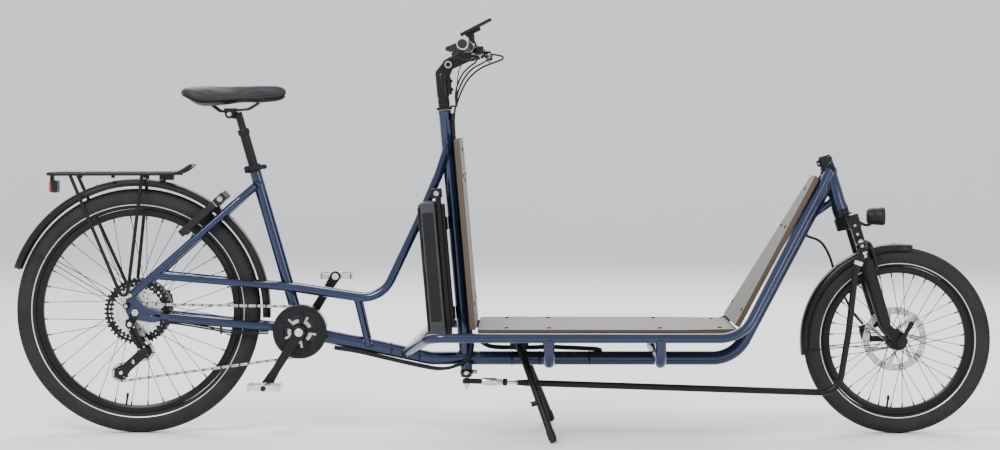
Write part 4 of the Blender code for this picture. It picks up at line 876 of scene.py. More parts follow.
def make_wheels():
    make_tyre("rear", REAR_AXLE, REAR_RADIUS, 0.264)
    make_rim("rear", REAR_AXLE, 0.264)
    make_spokes("rear", REAR_AXLE, 0.264, (-0.0182, 0.0345), (0.0280, 0.0280))
    make_rotor("rear", REAR_AXLE, 0.0515, 0.0150)
    make_hub("rear", REAR_AXLE, [(-0.0200, 0.0068), (-0.0200, 0.0310), (-0.0165, 0.0312), (-0.0155, 0.0230),
                                 (-0.0100, 0.0190),
                                 (0.0250, 0.0190), (0.0315, 0.0230), (0.0330, 0.0312), (0.0360, 0.0312),
                                 (0.0370, 0.0220),
                                 (0.0500, 0.0215), (0.0560, 0.0140), (0.0655, 0.0130), (0.0660, 0.0068)])
    make_tyre("front", FRONT_AXLE, FRONT_RADIUS, 0.187)
    make_rim("front", FRONT_AXLE, 0.187)
    make_spokes("front", FRONT_AXLE, 0.187, (-0.0315, 0.0265), (0.0225, 0.0225))
    make_rotor("front", FRONT_AXLE, 0.0415, 0.0130)
    make_hub("front", FRONT_AXLE, [(-0.0490, 0.0068), (-0.0490, 0.0115), (-0.0400, 0.0130),
                                   (-0.0335, 0.0180), (-0.0330, 0.0260),
                                   (-0.0300, 0.0260), (-0.0290, 0.0185), (-0.0220, 0.0150), (0.0170, 0.0150),
                                   (0.0240, 0.0185),
                                   (0.0250, 0.0260), (0.0280, 0.0260), (0.0290, 0.0195), (0.0410, 0.0190),
                                   (0.0425, 0.0120),
                                   (0.0490, 0.0115), (0.0490, 0.0068)])


# ---------------------------------------------------------------- drive

CHAINRING_RADIUS = CHAIN_PITCH / (2 * math.sin(math.pi / CHAINRING_TEETH))
COG_RADIUS = CHAIN_PITCH / (2 * math.sin(math.pi / COG_TEETH))
PULLEY_RADIUS = 0.0235
CHAIN_FRONT_Y, CHAIN_REAR_Y = -0.050, -0.062
CRANK_TIP = {"right": BOTTOM_BRACKET + CRANK_DIRECTION * CRANK_LENGTH,
             "left": BOTTOM_BRACKET - CRANK_DIRECTION * CRANK_LENGTH}


def make_cassette():
    shape = Shape()
    teeth = (45, 39, 34, 29, 24, 21, 18, 15, 13, 11)
    for i, count in enumerate(teeth):
        radius = CHAIN_PITCH / (2 * math.sin(math.pi / count))
        outlines = [gear_outline(count, radius - 0.0036, radius + 0.0030), circle(0.0150, 24)]
        for k in range(5 if count >= 20 else 0):
            outlines.append(window(0.0215, max(0.0235, radius - 0.0105), 72 * k + 12 + 6 * i,
                                   72 * k + 60 + 6 * i, 6))
        shape.look = 2 if count > 35 else 0
        shape.pierced(outlines, 0.0018, across_y(REAR_AXLE + ACROSS * (-0.0245 - 0.0042 * i)))
    shape.look = 1
    body = [(0.0078, 0.0227), (0.0165, 0.0227), (0.0165, 0.0600), (0.0150, 0.0645), (0.0120, 0.0648),
            (0.0078, 0.0640)]
    shape.turned(body, across_y(REAR_AXLE), 36, closed=True)
    piece("cassette_cogs", shape, [SILVER, STEEL, SATIN], "cassette", ["cassette"], angle=30)


def belt(circles, steps_per_turn=90):
    """A chain's path round circles of (centre, radius, sense), as one list of points for each circle."""
    runs = []
    for i, (centre, radius, sense) in enumerate(circles):
        next_centre, next_radius, next_sense = circles[(i + 1) % len(circles)]
        across = Vector((next_centre.x - centre.x, 0, next_centre.z - centre.z))
        rise = (next_sense * next_radius - sense * radius) / across.length
        line = across.normalized()
        way = line * math.sqrt(1 - rise * rise) - Vector((line.z, 0, -line.x)) * rise
        side = Vector((way.z, 0, -way.x))
        runs.append((centre - side * sense * radius, next_centre - side * next_sense * next_radius))
    arcs = []
    for i, (centre, radius, sense) in enumerate(circles):
        arrive = runs[i - 1][1] - centre
        leave = runs[i][0] - centre
        start = math.atan2(arrive.z, arrive.x)
        sweep = (start - math.atan2(leave.z, leave.x)) % (2 * math.pi)
        if sense < 0:
            sweep -= 2 * math.pi
        count = max(2, round(abs(sweep) / (2 * math.pi) * steps_per_turn))
        angles = [math.degrees(start - sweep * k / count) for k in range(count + 1)]
        arcs.append([centre + unit(angle) * radius for angle in angles])
    return arcs


def spaced(points, count):
    """Points at equal steps along a closed polyline, and how far along it each given point lies."""
    lengths = [0.0]
    ring = points + [points[0]]
    for start, end in zip(ring, ring[1:]):
        lengths.append(lengths[-1] + (end - start).length)
    made, k = [], 0
    for i in range(count):
        goal = lengths[-1] * i / count
        while lengths[k + 1] < goal:
            k += 1
        share = (goal - lengths[k]) / (lengths[k + 1] - lengths[k])
        made.append(ring[k].lerp(ring[k + 1], share))
    return made, [length / lengths[-1] for length in lengths[:-1]]


def add_link(shape, start, end, outer):
    """One chain link: two waisted side plates and, at its start, a roller with its pin."""
    way = end - start
    turn = Matrix.Translation((start + end) / 2) @ way.to_track_quat("X", "Z").to_matrix().to_4x4()
    turn = turn @ Matrix.Rotation(math.pi / 2, 4, "X")
    half = way.length / 2
    outline = [*arc((half, 0), 0.0042, -70, 70, 6), (0, 0.0032)]
    outline += [*arc((-half, 0), 0.0042, 110, 250, 6), (0, -0.0032)]
    shape.look = 0 if outer else 1
    for side in (-1, 1):
        shape.prism(outline, 0.0009, turn @ Matrix.Translation((0, 0, side * (0.0027 if outer else 0.0016))))
    pin = turn @ Matrix.Translation((-half, 0, 0))
    shape.turned([(0, -0.0036), (0.0017, -0.0036), (0.0017, 0.0036), (0, 0.0036)], pin, 10)
    shape.turned([(0, -0.0011), (0.0036, -0.0011), (0.0036, 0.0011), (0, 0.0011)], pin, 12)


def make_chain():
    """Four stretches: over ring and small cog, the lower run, round the two pulleys, and up to the cog."""
    circles = [
        (BOTTOM_BRACKET + ACROSS * CHAIN_FRONT_Y, CHAINRING_RADIUS, 1),
        (TENSION_PULLEY, PULLEY_RADIUS, 1),
        (GUIDE_PULLEY, PULLEY_RADIUS, -1),
        (REAR_AXLE + ACROSS * CHAIN_REAR_Y, COG_RADIUS, 1),
    ]
    arcs = belt(circles)
    path = [point for part in arcs for point in part]
    total = sum((b - a).length for a, b in zip(path, path[1:] + path[:1]))
    count = 2 * round(total / CHAIN_PITCH / 2)
    joints, shares = spaced(path, count)
    marks, place = [], 0
    for part in arcs:
        marks += [shares[place], shares[place + len(part) - 1]]
        place += len(part)
    stretches = {"chain_over_ring": Shape(), "chain_lower_run": Shape(), "chain_round_pulleys": Shape(),
                 "chain_to_cog": Shape()}
    for i in range(count):
        share = i / count
        if marks[1] <= share < marks[2]:
            name = "chain_lower_run"
        elif marks[2] <= share < marks[5]:
            name = "chain_round_pulleys"
        elif marks[5] <= share < marks[6]:
            name = "chain_to_cog"
        else:
            name = "chain_over_ring"
        add_link(stretches[name], joints[i], joints[(i + 1) % count], i % 2)
    bodies = {"chain_over_ring": "frame", "chain_round_pulleys": "derailleur_cage"}
    for name, shape in stretches.items():
        made = piece(name, shape, [CHAIN_STEEL, DARK_STEEL], bodies.get(name), ["chain"], angle=40)
        if name == "chain_lower_run":
            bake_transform(made)
        if name == "chain_to_cog":
            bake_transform(made)


def make_crankset():
    ring = Shape()
    outlines = [gear_outline(CHAINRING_TEETH, CHAINRING_RADIUS - 0.0036, CHAINRING_RADIUS + 0.0030),
                circle(0.0230, 36)]
    outlines += [window(0.0340, 0.0560, 72 * k + 15, 72 * k + 57) for k in range(5)]
    ring.pierced(outlines, 0.0019, across_y(BOTTOM_BRACKET + ACROSS * CHAIN_FRONT_Y))
    piece("chainring", ring, STEEL, "crank")
    guard = Shape()
    outlines = [circle(0.0750, 96), circle(0.0130, 30)]
    outlines += [window(0.0240, 0.0460, 72 * k + 22, 72 * k + 66, 10) for k in range(5)]
    guard.pierced(outlines, 0.0030, across_y(BOTTOM_BRACKET + ACROSS * -0.0575))
    rim = [(0.0640, 0.0588), (0.0652, 0.0598), (0.0735, 0.0598), (0.0750, 0.0588)]
    guard.turned(rim, across_y(BOTTOM_BRACKET), 96, closed=True)
    for k in range(5):
        guard.bolt(BOTTOM_BRACKET + unit(72 * k + 8) * 0.0520 + ACROSS * -0.0590, -ACROSS, 0.0045, 0.0022)
    piece("chain_guard", guard, SATIN, "crank", bevel=0.0005)
    arms = Shape()
    for word, side in SIDES.items():
        tip = CRANK_TIP[word]
        heading = math.atan2(tip.z - BOTTOM_BRACKET.z, tip.x - BOTTOM_BRACKET.x)
        outline = arc((CRANK_LENGTH, 0), 0.0150, -90, 90, 14) + [(0.120, 0.0112), (0.045, 0.0128)]
        outline += arc((0, 0), 0.0180, 105, 255, 14) + [(0.045, -0.0128), (0.120, -0.0112)]
        arms.prism(outline, 0.0125, across_y(BOTTOM_BRACKET + ACROSS * side * 0.0855, heading))
        spider = [(0.0115, 0.0560), (0.0260, 0.0560), (0.0235, 0.0700), (0.0175, 0.0790), (0.0115, 0.0790)]
        profile = spider if side < 0 else [(0.0115, 0.0510), (0.0185, 0.0510), (0.0175, 0.0790),
                                           (0.0115, 0.0790)]
        arms.turned([(r, side * h) for r, h in profile], across_y(BOTTOM_BRACKET), 40, closed=True)
    piece("crank_arms", arms, SATIN, "crank", ["crankset"], bevel=0.0022, segments=3)
    bolts = Shape()
    bolts.turned([(0, 0.092), (0.0112, 0.092), (0.0112, -0.092), (0, -0.092)], across_y(BOTTOM_BRACKET), 32)
    for word, side in SIDES.items():
        bolts.bolt(BOTTOM_BRACKET + ACROSS * side * 0.0917, ACROSS * side, 0.0085, 0.0022)
        bolts.turned([(0, 0), (0.0092, 0), (0.0092, 0.002), (0.0055, 0.002), (0.0055, 0.0002), (0, 0.0002)],
                     facing(CRANK_TIP[word] + ACROSS * side * 0.0792, -ACROSS * side), 24)
    piece("crank_bolts", bolts, SILVER, "crank")


def make_pedals():
    for word, side in SIDES.items():
        centre = CRANK_TIP[word] + ACROSS * side * 0.148
        cage = Shape()
        edge = arc((0.037, 0.035), 0.008, 0, 90, 5) + arc((-0.037, 0.035), 0.008, 90, 180, 5)
        edge += arc((-0.037, -0.035), 0.008, 180, 270, 5) + arc((0.037, -0.035), 0.008, 270, 360, 5)
        holes = []
        for x in (-1, 1):
            holes.append([(x * 0.014, -0.034), (x * 0.0375, -0.034), (x * 0.0375, 0.034), (x * 0.014, 0.034)])
        cage.pierced([edge, *holes], 0.0150, Matrix.Translation(centre))
        cage.rod(centre - ACROSS * 0.0435, centre + ACROSS * 0.0435, 0.0098, 24)
        for x in (-0.0412, 0.0412):
            for y in (-0.032, -0.011, 0.011, 0.032):
                foot = centre + Vector((x, y, -0.0110))
                cage.rod(foot, foot + UP * 0.0220, 0.0016, 8)
        piece(f"pedal_{word}_cage", cage, SILVER, f"pedal_{word}", [f"pedal_{word}"], bevel=0.0010)
        axle = Shape()
        axle.rod(CRANK_TIP[word] + ACROSS * side * 0.0930, centre - ACROSS * side * 0.036, 0.0062, 20)
        axle.nut(CRANK_TIP[word] + ACROSS * side * 0.0945, ACROSS * side, 0.0080, 0.0045)
        axle.turned([(0, 0), (0.0078, 0), (0.0070, 0.0024), (0, 0.0024)],
                    facing(centre + ACROSS * side * 0.0432, ACROSS * side), 24)
        piece(f"pedal_{word}_axle", axle, SATIN, f"pedal_{word}")


def make_derailleur():
    hanger = row(-1.018, 0, 0.308)
    knuckle = Vector((GUIDE_PULLEY.x, 0, GUIDE_PULLEY.z))
    tension = Vector((TENSION_PULLEY.x, 0, TENSION_PULLEY.z))
    plate = Shape().prism(link_outline(REAR_AXLE, hanger, 0.013, 0.0095), 0.0070, across_y(ACROSS * -0.0725))
    piece("derailleur_hanger", plate, SATIN, "frame", bevel=0.0010)
    body = Shape()
    body.turned([(0, 0.0770), (0.0120, 0.0770), (0.0125, 0.0785), (0.0125, 0.0900), (0.0105, 0.0925),
                 (0, 0.0925)], across_y(hanger), 32)
    body.turned([(0, 0.0775), (0.0115, 0.0775), (0.0115, 0.0910), (0.0100, 0.0935), (0, 0.0935)],
                across_y(knuckle), 32)
    way = (knuckle - hanger).normalized()
    square = Vector((-way.z, 0, way.x))
    for shift, y, thick in ((0.0072, -0.0890, 0.0060), (-0.0072, -0.0890, 0.0060), (0.0, -0.0815, 0.0070)):
        ends = (hanger + way * 0.010 + square * shift, knuckle - way * 0.010 + square * shift)
        body.prism(link_outline(*ends, 0.0042, 0.0042), thick, across_y(ACROSS * y))
    body.block((0.012, 0.010, 0.008), Matrix.Translation(hanger + Vector((-0.006, -0.083, 0.010))))
    piece("derailleur_links", body, SATIN, "frame", ["derailleur_body"], bevel=0.0010)
    bolts = Shape()
    bolts.bolt(hanger + ACROSS * -0.0922, -ACROSS, 0.0060, 0.0018)
    for end in (hanger + way * 0.012, knuckle - way * 0.012):
        for shift in (-0.0072, 0.0072):
            bolts.bolt(end + square * shift + ACROSS * -0.0918, -ACROSS, 0.0024, 0.0012, socket=False)
    piece("derailleur_bolts", bolts, SILVER, "frame")
    cage = Shape()
    for y in (-0.0698, -0.0543):
        middle = knuckle.lerp(tension, 0.5)
        hole = [(middle.x + x * 0.6, middle.z + z * 0.9) for x, z in circle(0.0075, 16)]
        cage.pierced([link_outline(knuckle, tension, 0.0135, 0.0135), hole], 0.0014, across_y(ACROSS * y))
    piece("derailleur_cage_plates", cage, SATIN, "derailleur_cage", ["derailleur_cage"])
    pins = Shape()
    for centre in (knuckle, tension):
        pins.rod(centre + ACROSS * -0.0700, centre + ACROSS * -0.0540, 0.0030, 16)
        pins.bolt(centre + ACROSS * -0.0704, -ACROSS, 0.0050, 0.0012 if centre == tension else 0.0008)
    piece("derailleur_pulley_bolts", pins, STEEL, "derailleur_cage")
    for word, centre in (("guide", GUIDE_PULLEY), ("tension", TENSION_PULLEY)):
        outlines = [gear_outline(PULLEY_TEETH, PULLEY_RADIUS - 0.0040, PULLEY_RADIUS - 0.0006),
                    circle(0.0033, 16)]
        outlines += [circle(0.0032, 10, (0.0115 * math.cos(a),
                                         0.0115 * math.sin(a))) for a in (math.pi / 3 * k for k in range(6))]
        wheel = Shape().pierced(outlines, 0.0019, across_y(centre))
        wheel.turned([(0.0034, -0.0030), (0.0068, -0.0030), (0.0068, 0.0030), (0.0034, 0.0030)],
                     across_y(centre), 24, closed=True)
        piece(f"{word}_pulley_toothed", wheel, PLASTIC, f"{word}_pulley", [f"{word}_pulley"])


# ---------------------------------------------------------------- fenders, rack and lock


def add_fender(shape, axle, radius, half_width, first, last):
    """A curved strip round a wheel with rolled edges and rounded ends."""
    steps = round((last - first) / 2)
    turns = [-1 + k / 8 for k in range(17)]
    shares = [(math.sin(t * math.pi / 2), 0.018 * abs(t) ** 3) for t in turns]
    inner, outer, edges = [], [], {-1: [], 1: []}
    for i in range(steps + 1):
        angle = first + (last - first) * i / steps
        end = min(i, steps - i) / 5
        width = half_width * (math.sqrt(1 - (1 - end) ** 2) * 0.45 + 0.55 if end < 1 else 1)
        for ring, lift in ((outer, 0.0011), (inner, -0.0011)):
            ring.append([axle + unit(angle) * (radius + lift - drop) + ACROSS * width * s for s,
                         drop in shares])
        for side in (-1, 1):
            edges[side].append(axle + unit(angle) * (radius - 0.018) + ACROSS * side * width)
    skins = [out + inside[::-1] for out, inside in zip(outer, inner)]
    shape.rings(skins, closed=False)
    for side in (-1, 1):
        shape.tube(edges[side], 0.0014, 8)
    return shape


def make_rear_fender():
    shape = add_fender(Shape(), REAR_AXLE, 0.3668, 0.0300, -3, 160.8)
    piece("rear_fender_rolled", shape, SATIN, "frame", ["rear_fender"], angle=60)
    flap = Shape()
    for angle in (44, 108, 140):
        flap.bolt(REAR_AXLE + unit(angle) * 0.3675, unit(angle), 0.0050, 0.0026)
    piece("rear_fender_bolts", flap, STEEL, "frame")
    stays = Shape()
    for side in (-1, 1):
        foot = row(-1.0260, side * 0.0775, 0.3520)
        rim = REAR_AXLE + unit(150) * 0.3400 + ACROSS * side * 0.0310
        stays.tube([foot, foot.lerp(rim, 0.9) + ACROSS * side * 0.003, rim], 0.0013, 10)
        stays.bolt(foot, ACROSS * side, 0.0040, 0.0024)
    piece("rear_fender_stays", stays, SATIN, "frame")


def make_rack():
    level, half, radius = 0.7215, 0.060, 0.005
    lip = row(-0.853, 0, 0.745)
    loop = [row(-1.249, -half, level), row(-0.888, -half, level + 0.001), lip - ACROSS * 0.050]
    loop += [mirrored(point) for point in reversed(loop)]
    start = (loop[0] + loop[-1]) / 2
    shape = Shape().tube(bent([start, *loop, start], [0.018, 0.06, 0.012, 0.012, 0.06, 0.018], 8), radius, 16)
    foot = row(-1.0278, 0.092, 0.3547)
    for side in (-1, 1):
        legs = [row(-1.186, side * half, level), mirrored(foot, side), row(-0.986, side * half, level)]
        shape.tube(bent(legs, 0.012, 10), radius, 16)
        eye = mirrored(foot, side) + UP * 0.004
        shape.turned([(0, -0.003), (0.0085, -0.003), (0.0085, 0.003), (0, 0.003)], across_y(eye), 20)
        shape.rod(Vector((eye.x, side * 0.0755, eye.z - 0.002)), eye, 0.0055, 16)
    for x in (-1.165, -1.075, -0.985, -0.900):
        shape.tube([row(x, -half, level), row(x, half, level)], 0.0042, 14)
    shape.tube([row(-1.249, 0, level), row(-0.880, 0, level)], 0.0040, 14)
    shape.block((0.040, 0.022, 0.018), stood(row(-0.9250, 0, 0.7130)))
    for side in (-1, 1):
        shape.rod(row(-0.9350, side * 0.010, 0.7100), row(-0.9350, side * 0.024, 0.7010), 0.0045, 14)
    for x in (-1.165, -1.075, -0.985):
        shape.rod(row(x, 0, level - 0.004), row(x, 0, level - 0.012), 0.0055, 14)
    piece("rack_tubes", shape, SATIN, "frame", ["rack"], angle=50)
    bolts = Shape()
    for side in (-1, 1):
        bolts.bolt(mirrored(foot, side) + Vector((0, side * 0.003, 0.004)), ACROSS * side, 0.0052, 0.0032)
    piece("rack_bolts", bolts, STEEL, "frame")
    case = Shape().block((0.0170, 0.050, 0.034), stood(row(-1.2355, 0, 0.6860)))
    case.block((0.010, 0.026, 0.026), stood(row(-1.2440, 0, 0.7100)))
    piece("tail_light_case", case, PLASTIC, "frame", bevel=0.003, segments=3)
    lens = Shape().block((0.0062, 0.046, 0.030), stood(row(-1.2465, 0, 0.6860)))
    for k in range(4):
        lens.block((0.0012, 0.040, 0.0035), stood(row(-1.2498, 0, 0.6746 + 0.0076 * k)))
    piece("tail_light_lens", lens, RED_LENS, "frame", bevel=0.0012, segments=3)


def make_ring_lock():
    along = (SEAT_STAY[1] - SEAT_STAY[0])
    along = Vector((along.x, 0, along.z)).normalized()
    leg = 0.112
    outline = arc((0, 0), 0.058, -90, 90, 30) + [(-leg + 0.006, 0.058), (-leg, 0.052), (-leg, 0.037)]
    outline += arc((0, 0), 0.037, 90, -90, 30) + [(-leg, -0.037), (-leg, -0.052), (-leg + 0.006, -0.058)]
    columns = Matrix((along, ACROSS, along.cross(ACROSS))).transposed().to_4x4()
    where = Matrix.Translation(row(-0.799, 0, 0.629)) @ columns
    shape = Shape().prism(outline, 0.0205, where)
    shape.prism(arc((0, 0), 0.0600, -40, 40, 16) + arc((0, 0), 0.040, 40, -40, 16), 0.0218, where)
    shape.block((0.036, 0.030, 0.0218), where @ Matrix.Translation((0.0350, -0.0430, 0)))
    piece("ring_lock_case", shape, PLASTIC, "frame", ["ring_lock"], bevel=0.0030, segments=3)
    key = Shape()
    face = where @ Vector((0.0360, -0.0580, 0))
    key.turned([(0, 0), (0.0078, 0), (0.0078, 0.0022), (0.0066, 0.0022), (0.0060, 0.0012), (0, 0.0012)],
               facing(face, -ACROSS), 28)
    key.block((0.0016, 0.0012, 0.0080), Matrix.Translation(face - ACROSS * 0.0015))
    key.block((0.0022, 0.0260, 0.0222), where @ Matrix.Translation((0.0160, -0.0440, 0)))
    for spot in ((-0.095, -0.047), (-0.095, 0.047), (0.030, -0.037), (0.030, 0.037)):
        key.bolt(where @ Vector((*spot, 0.0096)), where.to_3x3() @ UP, 0.0034, 0.0016)
    shackle = [where @ Vector((x, y, 0)) for x, y in arc((0, 0), 0.0475, -118, -88, 8)]
    key.tube(shackle, 0.0042, 14)
    piece("ring_lock_metal", key, STEEL, "frame")


# ---------------------------------------------------------------- boards


def board(name, outline, where, node, rounding=0.0016):
    """A plywood board with coated faces; how far through it a point lies is kept for its edge's plies."""
    shape = Shape().prism(outline, BOARD_THICKNESS - 0.0004, where)
    made = piece(name, shape, [BOARD, BOARD_EDGE], "frame", [node])
    mesh = made.data
    for face in mesh.polygons:
        face.material_index = 0 if len(face.vertices) > 4 else 1
    through = mesh.attributes.new("through", "FLOAT", "POINT")
    count = len(outline)
    for i in range(len(mesh.vertices)):
        through.data[i].value = 1.0 if i >= count else 0.0
    edge = made.modifiers.new("Eased", "BEVEL")
    edge.width = rounding
    edge.segments = 2
    edge.limit_method = "ANGLE"
    edge.angle_limit = math.radians(50)
    return made


def panel_place(foot, up):
    columns = Matrix((ACROSS, up, ACROSS.cross(up))).transposed().to_4x4()
    return Matrix.Translation(foot) @ columns


def make_boards():
    rear, front = row(-0.057, 0, 0).x, row(0.645, 0, 0).x
    wide = row(0.50, 0, 0).x
    corner = 0.018
    outline = arc((rear + corner, -0.240 + corner), corner, 180, 270, 6) + [(wide, -0.240)]
    outline += [(front - 0.008, -0.207), (front, -0.200), (front, 0.200), (front - 0.008, 0.207),
                (wide, 0.240)]
    outline += arc((rear + corner, 0.240 - corner), corner, 90, 180, 6)
    board("deck_board_plywood", outline, Matrix.Translation((0, 0, DECK_TOP - BOARD_THICKNESS / 2)),
          "deck_board")
    top, bottom = 0.652, 0.1335
    outline = [(-0.225, bottom), (0.225, bottom)] + arc((0.175, top - 0.05), 0.05, 0, 90, 12)
    outline += arc((-0.175, top - 0.05), 0.05, 90, 180, 12)
    rear_place = panel_place(at_column(0, 0.032), COLUMN_AXIS)
    board("rear_panel_plywood", outline, rear_place, "rear_panel")
    foot, head = row(0.6445, 0, 0.3130), row(0.8770, 0, 0.7145)
    length = (head - foot).length
    outline = [(-0.205, 0), (0.205, 0), (0.205, 0.02)] + arc((0.030, length - 0.035), 0.035, 22, 90, 10)
    outline += arc((-0.030, length - 0.035), 0.035, 90, 158, 10) + [(-0.205, 0.02)]
    front_place = panel_place(foot, (head - foot).normalized())
    board("front_panel_plywood", outline, front_place, "front_panel")
    bolts = Shape()
    half = BOARD_THICKNESS / 2 - 0.0002
    for x in (*HOOP_PLACES, 0.02, 0.60):
        for y in (-0.19, 0.19) if x != 0.60 else (-0.17, 0.17):
            bolts.bolt(row(x, y, DECK_TOP - 0.0002), UP, 0.0060, 0.0028)
    normal = rear_place.to_3x3() @ UP
    for y, up in ((-0.15, 0.20), (0.15, 0.20), (0, 0.535), (0, 0.620), (-0.15, 0.55), (0.15, 0.55)):
        for way in (-1, 1):
            bolts.bolt(rear_place @ Vector((y, up, way * half)), normal * way, 0.0050, 0.0024)
    normal = front_place.to_3x3() @ UP
    for y, up in ((-0.16, 0.045), (0.16, 0.045), (-0.055, 0.30), (0.055, 0.30), (0, 0.42)):
        for way in (-1, 1):
            bolts.bolt(front_place @ Vector((y, up, way * half)), normal * way, 0.0050, 0.0024)
    piece("board_bolts", bolts, SATIN, "frame")


# ---------------------------------------------------------------- battery and kickstand


def rounded(width, height, corners, steps=8):
    """A rectangle with a radius for each corner: right top, left top, left bottom, right bottom."""
    outline = []
    signs = ((1, 1), (-1, 1), (-1, -1), (1, -1))
    for k, ((x, y), radius) in enumerate(zip(signs, corners)):
        centre = (x * (width / 2 - radius), y * (height / 2 - radius))
        outline += arc(centre, radius, 90 * k, 90 * k + 90, steps)
    return outline


def make_battery():
    forward, across, up = -0.070, BATTERY_Y, 0.3015
    where = Matrix.Translation(at_column(up, forward, across)) @ lean(COLUMN_AXIS)
    face = where @ across_y(Vector((0, 0, 0)))
    shell = Shape()
    for y in (-0.0215, 0.0215):
        shell.prism(rounded(0.050, 0.368, (0.006, 0.017, 0.012, 0.006)), 0.0310,
                    face @ Matrix.Translation((0, 0, y)))
    shell.prism(rounded(0.0485, 0.3665, (0.006, 0.0165, 0.0115, 0.006)), 0.0200, face)
    piece("battery_shell", shell, DARK_GREY, "battery", ["battery"], bevel=0.0045,
          segments=4)
    trim = Shape()
    for side in (-1, 1):
        panel = rounded(0.030, 0.300, (0.004,) * 4, 4)
        trim.prism(panel, 0.0012, face @ Matrix.Translation((0.002, 0.004, side * 0.0373)))
        strip = rounded(0.0080, 0.340, (0.003,) * 4, 4)
        trim.prism(strip, 0.0060, face @ Matrix.Translation((-0.0205, 0, side * 0.0340)))
    trim.block((0.0030, 0.040, 0.055), where @ Matrix.Translation((-0.0246, 0, 0.130)))
    trim.block((0.016, 0.030, 0.004), where @ Matrix.Translation((0.004, 0, 0.1845)))
    piece("battery_trim", trim, PLASTIC, "battery", bevel=0.0010)
    lights = Shape()
    for k in range(5):
        lights.block((0.0008, 0.0045, 0.0022), where @ Matrix.Translation((-0.0263, 0, 0.112 + 0.0085 * k)))
    lights.turned([(0, 0), (0.0042, 0), (0.0042, 0.0012), (0.0028, 0.0016), (0, 0.0016)],
                  facing(where @ Vector((-0.0261, 0, 0.165)), -forward_of(COLUMN_AXIS)), 20)
    piece("battery_lights", lights, STRIPE, "battery")


def make_battery_rail():
    rear, front = -0.070 + 0.025 + 0.0005, -COLUMN_RADIUS - 0.0010
    middle, thick, across, up = (rear + front) / 2, front - rear, BATTERY_Y, 0.3065
    turn = lean(COLUMN_AXIS)
    shape = Shape().block((thick * 0.55, 0.056, 0.378),
                          stood(at_column(up, rear + thick * 0.30, across), turn))
    shape.block((thick * 0.45, 0.040, 0.340), stood(at_column(up, front - thick * 0.30, across), turn))
    for height in (0.17, 0.42):
        shape.block((thick - 0.006, abs(across) + 0.020, 0.030),
                    stood(at_column(height, middle, across / 2), turn))
        shape.block((0.006, 0.030, 0.036), stood(at_column(height, front - 0.0030, 0), turn))
    shape.block((0.034, 0.050, 0.020), stood(at_column(up - 0.196, -0.0580, across), turn))
    lock = at_column(up + 0.200, -0.0400, across)
    shape.block((0.030, 0.046, 0.026), stood(lock, turn))
    piece("battery_mount", shape, SATIN, "frame", ["battery_rail"], bevel=0.0025, segments=3)
    bits = Shape()
    bits.turned([(0, 0), (0.0072, 0), (0.0072, 0.002), (0.0058, 0.002), (0.0052, 0.0008), (0, 0.0008)],
                facing(lock - ACROSS * 0.0232, -ACROSS), 24)
    for height in (0.17, 0.42):
        for side in (-0.009, 0.009):
            bits.bolt(at_column(height + side, middle, -0.0020), -forward_of(COLUMN_AXIS), 0.0032, 0.0120)
    piece("battery_mount_lock", bits, STEEL, "frame")


def make_kickstand():
    foot = row(0.150, 0.270, 0)
    corners = [mirrored(foot), STAND_PIVOT - ACROSS * 0.080, STAND_PIVOT + ACROSS * 0.080, foot.copy()]
    down = (corners[0] - corners[1]).normalized()
    corners[0] -= down * 0.010
    corners[3] -= mirrored(down) * 0.010
    shape = Shape().tube(bent(corners, 0.022, 10), 0.0100, 28)
    for side in (-1, 1):
        shape.rod(STAND_PIVOT + ACROSS * side * 0.0335, STAND_PIVOT + ACROSS * side * 0.0385, 0.0125, 28)
    peg = corners[1].lerp(corners[0], 0.60)
    shape.rod(peg, peg + Vector((-0.0225, 0, -0.0060)), 0.0072, 20)
    piece("kickstand_tube", shape, SATIN, "kickstand", ["kickstand"], bevel=0.0006)
    feet = Shape()
    for side in (-1, 1):
        way = mirrored(down, -side)
        tip = mirrored(foot, side) - way * 0.0110
        profile = [(0, 0), (0.0070, 0), (0.0103, 0.0025), (0.0114, 0.0070), (0.0114, 0.0300),
                   (0.0106, 0.0320), (0, 0.0320)]
        feet.turned(profile, facing(tip, -way), 28)
    piece("kickstand_feet", feet, RUBBER, "kickstand")
    bracket = Shape()
    high = 0.0162
    outline = arc((0, 0), 0.0200, 200, 340, 14) + [(0.026, -0.004), (0.026, high), (-0.026, high),
                                                   (-0.026, -0.004)]
    hole = circle(0.0098, 24)
    for side in (-1, 1):
        bracket.pierced([outline, hole], 0.0090, across_y(STAND_PIVOT + ACROSS * side * 0.0275))
    bracket.block((0.052, 0.064, 0.0055), Matrix.Translation(STAND_PIVOT + UP * (high - 0.0028)))
    bracket.block((0.006, 0.050, 0.030), Matrix.Translation(STAND_PIVOT + Vector((-0.0230, 0, 0.0010))))
    bracket.block((0.006, 0.050, 0.012), Matrix.Translation(STAND_PIVOT + Vector((0.0230, 0, 0.0095))))
    piece("kickstand_hanger", bracket, SATIN, "frame", ["kickstand_bracket"], bevel=0.0012)
    bolts = Shape()
    for side in (-1, 1):
        for x in (-0.016, 0.016):
            bolts.bolt(STAND_PIVOT + Vector((x, side * 0.0320, 0.010)), ACROSS * side, 0.0046, 0.0030)
    piece("kickstand_bolts", bolts, STEEL, "frame")


# ---------------------------------------------------------------- seat

SADDLE_STATIONS = (  # x, half width, top, bottom, as in the CAD
    (-0.8800, 0.045, 0.9560, 0.9400),
    (-0.8620, 0.072, 0.9620, 0.9310),
    (-0.8250, 0.079, 0.9610, 0.9120),
    (-0.7650, 0.060, 0.9580, 0.9150),
    (-0.7150, 0.036, 0.9590, 0.9215),
    (-0.6600, 0.025, 0.9635, 0.9215),
    (-0.6120, 0.022, 0.9630, 0.9270),
    (-0.5920, 0.014, 0.9540, 0.9390),
)


